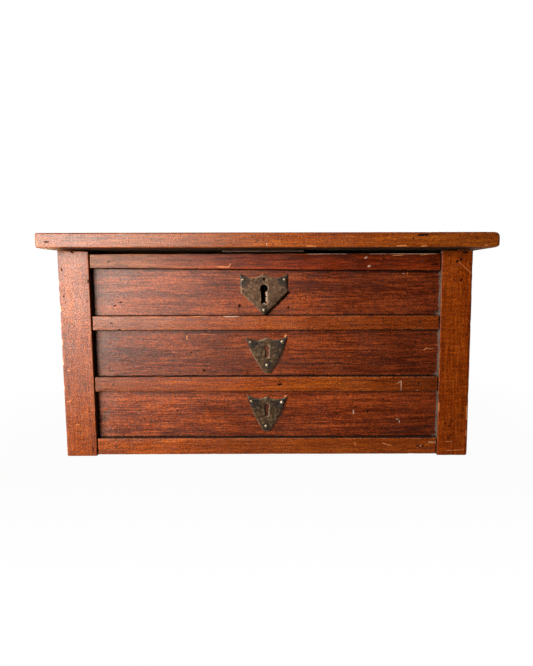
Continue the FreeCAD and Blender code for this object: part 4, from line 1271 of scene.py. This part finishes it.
class CHEST_OT_make_lid(bpy.types.Operator):
    """Make the lid board with its chipped arrises"""

    bl_idname = "chest.make_lid"
    bl_label = "Make lid"

    def execute(self, context):
        """Cut, weather and finish the lid."""
        wood = context.scene.chest_wood
        material = board_material("lid", wood, "lid", "x", LID_SHIFT, lid_shade)
        shape = copy_of("lid")
        cut_grid(shape, "lid", (wood.cut_step, 3.0 * wood.cut_step, None))
        for outward, foot_radius, top_radius in LID_ENDS:
            round_end(shape, "lid", outward, foot_radius, top_radius)
        weather(shape, "lid", wood.wave, wood.wear, LID_SEED)
        finish_piece(shape, "worn_lid", material, "lid", ["lid"])
        return {"FINISHED"}


class CHEST_OT_make_stiles(bpy.types.Operator):
    """Make the two stiles planted on the front"""

    bl_idname = "chest.make_stiles"
    bl_label = "Make stiles"

    def execute(self, context):
        """Cut, weather and finish both stiles."""
        wood = context.scene.chest_wood
        edge_start, edge_end = 0.0008, 0.0002
        sides = ((-1.0, LEFT_OPENING), (1.0, RIGHT_OPENING))
        for index, (node, (outward, opening)) in enumerate(zip(STILES, sides)):
            material = board_material(
                node, wood, "stile", "z", own_shift(STILE_SHIFT, index), side_shade_and_grime,
                opening + outward * edge_start, opening + outward * edge_end)
            shape = copy_of(node)
            cut_grid(shape, node, (wood.cut_step, None, wood.cut_step))
            round_end(shape, node, outward, *STILE_END)
            if node == "left_stile":
                lift_top(shape, node, wood.stile_lift)
            weather(shape, node, wood.wave, wood.wear, STILE_SEED + index)
            finish_piece(shape, "worn_" + node, material, "carcass", [node])
        return {"FINISHED"}


class CHEST_OT_make_rails(bpy.types.Operator):
    """Make the four rails between the stiles"""

    bl_idname = "chest.make_rails"
    bl_label = "Make rails"

    def execute(self, context):
        """Cut, weather and finish the rails."""
        wood = context.scene.chest_wood
        for index, node in enumerate(RAILS):
            finish = "panel" if node == "top_rail" else "frame"
            shift = own_shift(RAIL_SHIFT, index)
            material = board_material(node, wood, finish, "x", shift, rail_grime)
            shape = copy_of(node)
            cut_grid(shape, node, (wood.cut_step, None, wood.cut_step))
            weather(shape, node, wood.wave, wood.wear, RAIL_SEED + index)
            finish_piece(shape, "worn_" + node, material, "carcass", [node])
        return {"FINISHED"}


class CHEST_OT_make_panels(bpy.types.Operator):
    """Make the front board that shows as three panels"""

    bl_idname = "chest.make_panels"
    bl_label = "Make front panels"

    def execute(self, context):
        """Cut, weather and finish the front board."""
        wood = context.scene.chest_wood
        step = 2.0 * wood.cut_step
        shape = copy_of("front_board")
        cut_grid(shape, "front_board", (step, None, step))
        split_keyhole(shape, wood.splinter)
        weather(shape, "front_board", wood.wave, 0.0, 0.0)
        material = panel_material(wood)
        finish_piece(shape, "worn_front_board", material, "carcass", ["front_board"])
        return {"FINISHED"}


class CHEST_OT_make_carcass(bpy.types.Operator):
    """Make the sides, the back and the bottom"""

    bl_idname = "chest.make_carcass"
    bl_label = "Make carcass boards"

    def execute(self, context):
        """Soften, weather and finish the carcass boards."""
        wood = context.scene.chest_wood
        step = 4.0 * wood.cut_step
        wear = 0.3 * wood.wear
        grains = {"left_side_board": "y", "right_side_board": "y", "back_board": "x", "bottom_board": "x"}
        for index, (node, axis) in enumerate(grains.items()):
            material = carcass_material(node, wood, axis, own_shift(CARCASS_SHIFT, index))
            shape = copy_of(node)
            soften(shape, wood.soft_edge)
            cut_grid(shape, node, (step, step, step))
            weather(shape, node, wood.wave, wear, 0.0)
            finish_piece(shape, "worn_" + node, material, "carcass", [node])
        return {"FINISHED"}


def sunk_nails(node, face, depth):
    """The nails of a frame node, with their heads sunk below a face."""
    slack = 0.0001
    shape = copy_of(node)
    for vert in shape.verts:
        if vert.co.y < face + slack:
            vert.co.y += depth
    return shape


class CHEST_OT_make_nails(bpy.types.Operator):
    """Make the nails, sunk in the rails and stopped over in the stiles"""

    bl_idname = "chest.make_nails"
    bl_label = "Make nails"

    def execute(self, context):
        """Sink and finish the nails."""
        wood = context.scene.chest_wood
        iron = iron_material(context.scene.chest_metal)
        dark_cover, metal_share = 0.5, 0.0
        stopping = metal_material(
            "stopped_nails", wood.frame_dark, wood.frame_middle, wood.frame_dark, dark_cover,
            wood.gloss_roughness, metal_share)
        sunk = sunk_nails("rail_nails", RAIL_FACE, wood.nail_sink)
        finish_piece(sunk, "sunk_rail_nails", iron, "carcass", ["rail_nails"])
        flush = sunk_nails("stile_nails", STILE_FACE, wood.stop_sink)
        finish_piece(flush, "stopped_stile_nails", stopping, "carcass", ["stile_nails"])
        return {"FINISHED"}


def outer_wall(walls):
    """The wall faces that belong to the outline of a plate and not to its holes."""
    lowest = min(walls, key=lambda face: face.calc_center_median().z)
    found = {lowest}
    waiting = [lowest]
    allowed = set(walls)
    while waiting:
        face = waiting.pop()
        for edge in face.edges:
            for beside in edge.link_faces:
                if beside in allowed and beside not in found:
                    found.add(beside)
                    waiting.append(beside)
    return found


def flat_tree(places):
    """A search tree of places as they lie in the plane of the front."""
    tree = kdtree.KDTree(len(places))
    for index, place in enumerate(places):
        tree.insert((place.x, 0.0, place.z), index)
    tree.balance()
    return tree


def plate_shape(node, tacks, metal, dulling):
    """An escutcheon with rolled edges, dents and a ragged outline, and masks of its rim, of the painted
    highlight beside its keyhole, of the soot and painted shade round its tacks, and of its hole walls.
    """
    wall_tilt = 0.3
    head_slack = 0.0002
    keyhole_drop = 0.004
    rim_reach = 0.0013
    glint_reach = 0.0018
    halo_reach = 0.0065
    ring_reach = 0.0024
    hole_reach = 0.0036
    hole_wear = 0.0009
    upper_start, right_start = 0.45, 0.55
    upper_soot, lower_soot = 2.8, 0.4
    right_soot, ring_shade_and_soot = 1.1, 1.9
    patch_share = 0.40
    dent_pitch, fine_pitch, fine_share = 95.0, 260.0, 0.4
    ragged_pitch, ragged_reach = 210.0, 0.00022
    outline_rim = 0.99
    noise.seed_set(OUTLINE_SEED)
    shape = copy_of(node)
    low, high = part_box(node)
    cut_grid(shape, node, (metal.plate_step, None, metal.plate_step))
    shape.normal_update()
    walls = [face for face in shape.faces if abs(face.normal.y) < wall_tilt]
    outline = outer_wall(walls)
    hole_verts = {vert for face in walls if face not in outline for vert in face.verts}
    rim_verts = {vert for face in outline for vert in face.verts}
    rim_tree = flat_tree([vert.co for vert in rim_verts])
    keyhole = [vert.co for vert in hole_verts if vert.co.z < EMPTY_HOLE.z - keyhole_drop]
    middle = sum(place.x for place in keyhole) / len(keyhole)
    glint_tree = flat_tree(keyhole)
    heads = [vert.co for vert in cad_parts[tacks].data.vertices if vert.co.y < low.y + head_slack]
    head_tree = flat_tree(heads)
    rim_layer = shape.verts.layers.float.new("rim")
    glint_layer = shape.verts.layers.float.new("glint")
    halo_layer = shape.verts.layers.float.new("halo")
    wall_layer = shape.verts.layers.float.new("wall")
    for vert in shape.verts:
        flat = Vector((vert.co.x, 0.0, vert.co.z))
        from_hole = flat - EMPTY_HOLE
        if from_hole.length < hole_reach:
            flat += from_hole.normalized() * hole_wear * (1.0 - from_hole.length / hole_reach)
            vert.co.x = flat.x
            vert.co.z = flat.z
        rim = closeness(rim_tree.find(flat)[2], rim_reach)
        head_gap = head_tree.find(flat)[2]
        halo = closeness(head_gap, halo_reach)
        fine = noise.noise(flat * fine_pitch)
        patch = 0.5 + 0.5 * fine
        vert[rim_layer] = rim
        # The glint marks the painted highlight along the right side of the keyhole
        vert[glint_layer] = closeness(glint_tree.find(flat)[2], glint_reach) if flat.x > middle else 0.0
        vert[wall_layer] = 1.0 if vert in hole_verts else 0.0
        upper = max(0.0, (vert.co.z - low.z) / (high.z - low.z) - upper_start)
        right = max(0.0, (vert.co.x - low.x) / (high.x - low.x) - right_start)
        sooty = upper_soot if upper > 0.0 else lower_soot
        smudge = min(1.0, sooty * halo + dulling * (upper * patch + right_soot * right))
        smudge *= 1.0 - patch_share + patch_share * patch
        # Soot round the tacks, and a ring of painted shade at the foot of each tack dome
        vert[halo_layer] = max(smudge, min(1.0, ring_shade_and_soot * closeness(head_gap, ring_reach)))
        dent = metal.plate_dent * max(0.0, noise.noise(flat * dent_pitch) + fine_share * fine)
        if vert.co.y < (low.y + high.y) / 2:
            vert.co.y += metal.plate_roll * rim * rim + dent * (1.0 - halo)
        if rim > outline_rim:
            ragged = noise.noise_vector(flat * ragged_pitch)
            vert.co.x += ragged_reach * ragged.x
            vert.co.z += ragged_reach * ragged.z
    return shape


class CHEST_OT_make_escutcheons(bpy.types.Operator):
    """Make the three brass escutcheons and their tacks"""

    bl_idname = "chest.make_escutcheons"
    bl_label = "Make escutcheons"

    def execute(self, context):
        """Shape the plates and paint the tacks."""
        metal = context.scene.chest_metal
        bright = plate_material("top_plate_brass", metal, metal.brass_dark, metal.brass_middle)
        dull = plate_material("lower_plate_brass", metal, metal.dull_dark, metal.dull_middle)
        dirt_cover, metal_share = 0.3, 0.70
        tack = metal_material(
            "tack_brass", metal.tack_dark, metal.tack_light, metal.tack_dark, dirt_cover,
            metal.tack_roughness, metal_share)
        little, much = 0.3, 1.6
        plates = (("top", bright, little), ("middle", dull, much), ("bottom", dull, much))
        for level, brass, dulling in plates:
            node = level + "_escutcheon"
            shape = plate_shape(node, node + "_tacks", metal, dulling)
            finish_piece(shape, "worn_" + node, brass, "carcass", [node])
            paint(node + "_tacks", tack)
        return {"FINISHED"}


def softened_copies(nodes, body, material, metal):
    """Copies of frame nodes with their sharp edges softened."""
    for node in nodes:
        shape = copy_of(node)
        soften(shape, metal.soft_edge)
        finish_piece(shape, "worn_" + node, material, body, [node])


class CHEST_OT_make_lock(bpy.types.Operator):
    """Make the box lock"""

    bl_idname = "chest.make_lock"
    bl_label = "Make lock"

    def execute(self, context):
        """Soften and finish the lock's ironwork."""
        metal = context.scene.chest_metal
        iron = iron_material(metal)
        fixed = ("lock_case", "lock_back_plate", "lock_selvedge", "lock_spring", "lock_ward")
        softened_copies(fixed, "carcass", iron, metal)
        softened_copies(("lock_bolt",), "lock_bolt", iron, metal)
        for node in ("lock_guides", "lock_screws"):
            paint(node, iron)
        return {"FINISHED"}


class CHEST_OT_make_link(bpy.types.Operator):
    """Make the link plate and the staples under the lid"""

    bl_idname = "chest.make_link"
    bl_label = "Make link plate"

    def execute(self, context):
        """Soften and finish the link plate and its staples."""
        metal = context.scene.chest_metal
        iron = iron_material(metal)
        softened_copies(("link_plate",), "lid", link_material(metal), metal)
        softened_copies(("link_staples",), "lid", iron, metal)
        paint("link_screws", iron)
        return {"FINISHED"}


class CHEST_OT_make_hinges(bpy.types.Operator):
    """Make the two butt hinges and their screws"""

    bl_idname = "chest.make_hinges"
    bl_label = "Make hinges"

    def execute(self, context):
        """Soften and finish the hinge leaves, and paint the pins and screws."""
        metal = context.scene.chest_metal
        bright_cover, metal_share = 0.5, 0.8
        brass = metal_material(
            "hinge_brass", metal.brass_dark, metal.brass_middle, metal.brass_light, bright_cover,
            metal.brass_roughness, metal_share)
        for side in ("left", "right"):
            softened_copies((side + "_hinge_back_leaf",), "carcass", brass, metal)
            softened_copies((side + "_hinge_lid_leaf",), "lid", brass, metal)
            paint(side + "_hinge_pin", brass)
        for node in ("hinge_back_screws", "hinge_lid_screws"):
            paint(node, iron_material(metal))
        return {"FINISHED"}


def ray_share(tree, mirror_share):
    """One for a ray from the camera or through glass, and a share for a mirrored ray."""
    path = add(tree, "ShaderNodeLightPath").outputs
    seen = larger(tree, path["Is Camera Ray"], path["Is Transmission Ray"])
    return larger(tree, seen, times(tree, path["Is Glossy Ray"], mirror_share))


def floor_material(stage):
    """A pale floor that shows as white, fades into the room and keeps the chest's shadow."""
    material = bpy.data.materials.new("pale_floor")
    tree = empty_tree(material)
    mirror_start, mirror_end = -0.3, 0.3
    matt = add(tree, "ShaderNodeBsdfDiffuse", {"Color": opaque(stage.floor_colour)})
    white = add(tree, "ShaderNodeEmission", {"Color": WHITE, "Strength": 1.0})
    place = object_place(tree)
    middle = (CAD_BOX[0] + CAD_BOX[1]) / 2
    half = (CAD_BOX[1] - CAD_BOX[0]) / 2
    from_middle = vector_sum(tree, "SUBTRACT", place, (middle.x, middle.y, 0.0))
    span = vector_sum(tree, "ABSOLUTE", from_middle)
    beyond = vector_sum(tree, "SUBTRACT", span, (half.x, half.y, 0.0))
    outside = vector_sum(tree, "MAXIMUM", beyond, (0.0, 0.0, 0.0))
    reach = vector_sum(tree, "LENGTH", outside)
    glow = ease(tree, reach, 0.0, stage.shadow_reach, stage.floor_glow, 1.0)
    behind = ease(tree, split(tree, place)[1], mirror_start, mirror_end)
    share = times(tree, ray_share(tree, behind), glow)
    mixed = add(tree, "ShaderNodeMixShader", {0: share, 1: matt.outputs[0], 2: white.outputs[0]})
    add(tree, "ShaderNodeOutputMaterial", {"Surface": mixed.outputs[0]})
    return material


def white_world(stage):
    """A world, white where seen, dim before the chest in a mirror, and soft light elsewhere."""
    world = bpy.data.worlds.new("white_room")
    tree = empty_tree(world)
    mirror_start, mirror_end = 0.30, 0.80
    soft = add(
        tree, "ShaderNodeBackground", {"Color": opaque(stage.room_colour), "Strength": stage.room_light})
    white = add(tree, "ShaderNodeBackground", {"Color": WHITE, "Strength": 1.0})
    backwards = split(tree, add(tree, "ShaderNodeTexCoord").outputs["Generated"])[1]
    behind = ease(tree, backwards, mirror_start, mirror_end, stage.room_mirror, stage.back_mirror)
    shown = ray_share(tree, behind)
    mixed = add(tree, "ShaderNodeMixShader", {0: shown, 1: soft.outputs[0], 2: white.outputs[0]})
    add(tree, "ShaderNodeOutputWorld", {"Surface": mixed.outputs[0]})
    bpy.context.scene.world = world


def area_light(name, place, target, size, power, colour=(1.0, 1.0, 1.0)):
    """Adds a square soft light aimed at a target."""
    lamp = bpy.data.lights.new(name, "AREA")
    lamp.shape = "SQUARE"
    lamp.size = size
    lamp.energy = power
    lamp.color = colour
    light = bpy.data.objects.new(name, lamp)
    light.location = place
    light.rotation_euler = (Vector(target) - Vector(place)).to_track_quat("-Z", "Y").to_euler()
    bpy.context.scene.collection.objects.link(light)


class CHEST_OT_make_stage(bpy.types.Operator):
    """Make the floor, the lights and the camera"""

    bl_idname = "chest.make_stage"
    bl_label = "Make stage"

    def execute(self, context):
        """Set up the stage for the photograph's view."""
        stage = context.scene.chest_stage
        ground = bmesh.new()
        bmesh.ops.create_grid(ground, x_segments=1, y_segments=1, size=stage.floor_size / 2)
        mesh = bpy.data.meshes.new("floor")
        ground.to_mesh(mesh)
        ground.free()
        mesh.materials.append(floor_material(stage))
        floor = bpy.data.objects.new("floor", mesh)
        context.scene.collection.objects.link(floor)
        white_world(stage)
        middle = (CAD_BOX[0] + CAD_BOX[1]) / 2
        area_light(
            "window_light", stage.key_place, stage.key_target, stage.key_size, stage.key_power,
            stage.key_colour)
        area_light(
            "bounce_light", stage.bounce_place, LID_LOW, stage.bounce_size, stage.bounce_power,
            stage.key_colour)
        area_light("back_light", stage.back_place, middle, stage.back_size, stage.back_power)
        lens = bpy.data.cameras.new("photo_camera")
        lens.lens = stage.camera_lens
        lens.shift_x = stage.camera_shift
        camera = bpy.data.objects.new("photo_camera", lens)
        camera.location = stage.camera_place
        camera.rotation_euler = (math.pi / 2 - stage.camera_dip, stage.camera_roll, 0.0)
        context.scene.collection.objects.link(camera)
        context.scene.camera = camera
        context.scene.view_settings.view_transform = "Standard"
        return {"FINISHED"}


OPERATORS = (
    CHEST_OT_make_stage,
    CHEST_OT_make_lid,
    CHEST_OT_make_stiles,
    CHEST_OT_make_rails,
    CHEST_OT_make_panels,
    CHEST_OT_make_carcass,
    CHEST_OT_make_nails,
    CHEST_OT_make_escutcheons,
    CHEST_OT_make_lock,
    CHEST_OT_make_link,
    CHEST_OT_make_hinges,
)


class CHEST_PT_build(bpy.types.Panel):
    """The chest's settings and its build steps"""

    bl_idname = "CHEST_PT_build"
    bl_label = "Table-top chest"
    bl_space_type = "VIEW_3D"
    bl_region_type = "UI"
    bl_category = "Chest"

    def draw(self, context):
        """List the settings and the operators."""
        for group in (context.scene.chest_wood, context.scene.chest_metal, context.scene.chest_stage):
            box = self.layout.box()
            for name in group.__annotations__:
                box.prop(group, name)
        for operator in OPERATORS:
            self.layout.operator(operator.bl_idname)


GROUPS = {"chest_wood": ChestWood, "chest_metal": ChestMetal, "chest_stage": ChestStage}
CLASSES = (*GROUPS.values(), *OPERATORS, CHEST_PT_build)


def register():
    """Register the add-on's classes and settings."""
    for made in CLASSES:
        bpy.utils.register_class(made)
    for name, group in GROUPS.items():
        setattr(bpy.types.Scene, name, bpy.props.PointerProperty(type=group))


def unregister():
    """Remove the add-on's settings and classes."""
    for name in GROUPS:
        delattr(bpy.types.Scene, name)
    for made in reversed(CLASSES):
        bpy.utils.unregister_class(made)


def main():
    """Register the add-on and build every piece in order."""
    register()
    bpy.ops.chest.make_stage()
    bpy.ops.chest.make_lid()
    bpy.ops.chest.make_stiles()
    bpy.ops.chest.make_rails()
    bpy.ops.chest.make_panels()
    bpy.ops.chest.make_carcass()
    bpy.ops.chest.make_nails()
    bpy.ops.chest.make_escutcheons()
    bpy.ops.chest.make_lock()
    bpy.ops.chest.make_link()
    bpy.ops.chest.make_hinges()


if __name__ == "__main__":
    main()
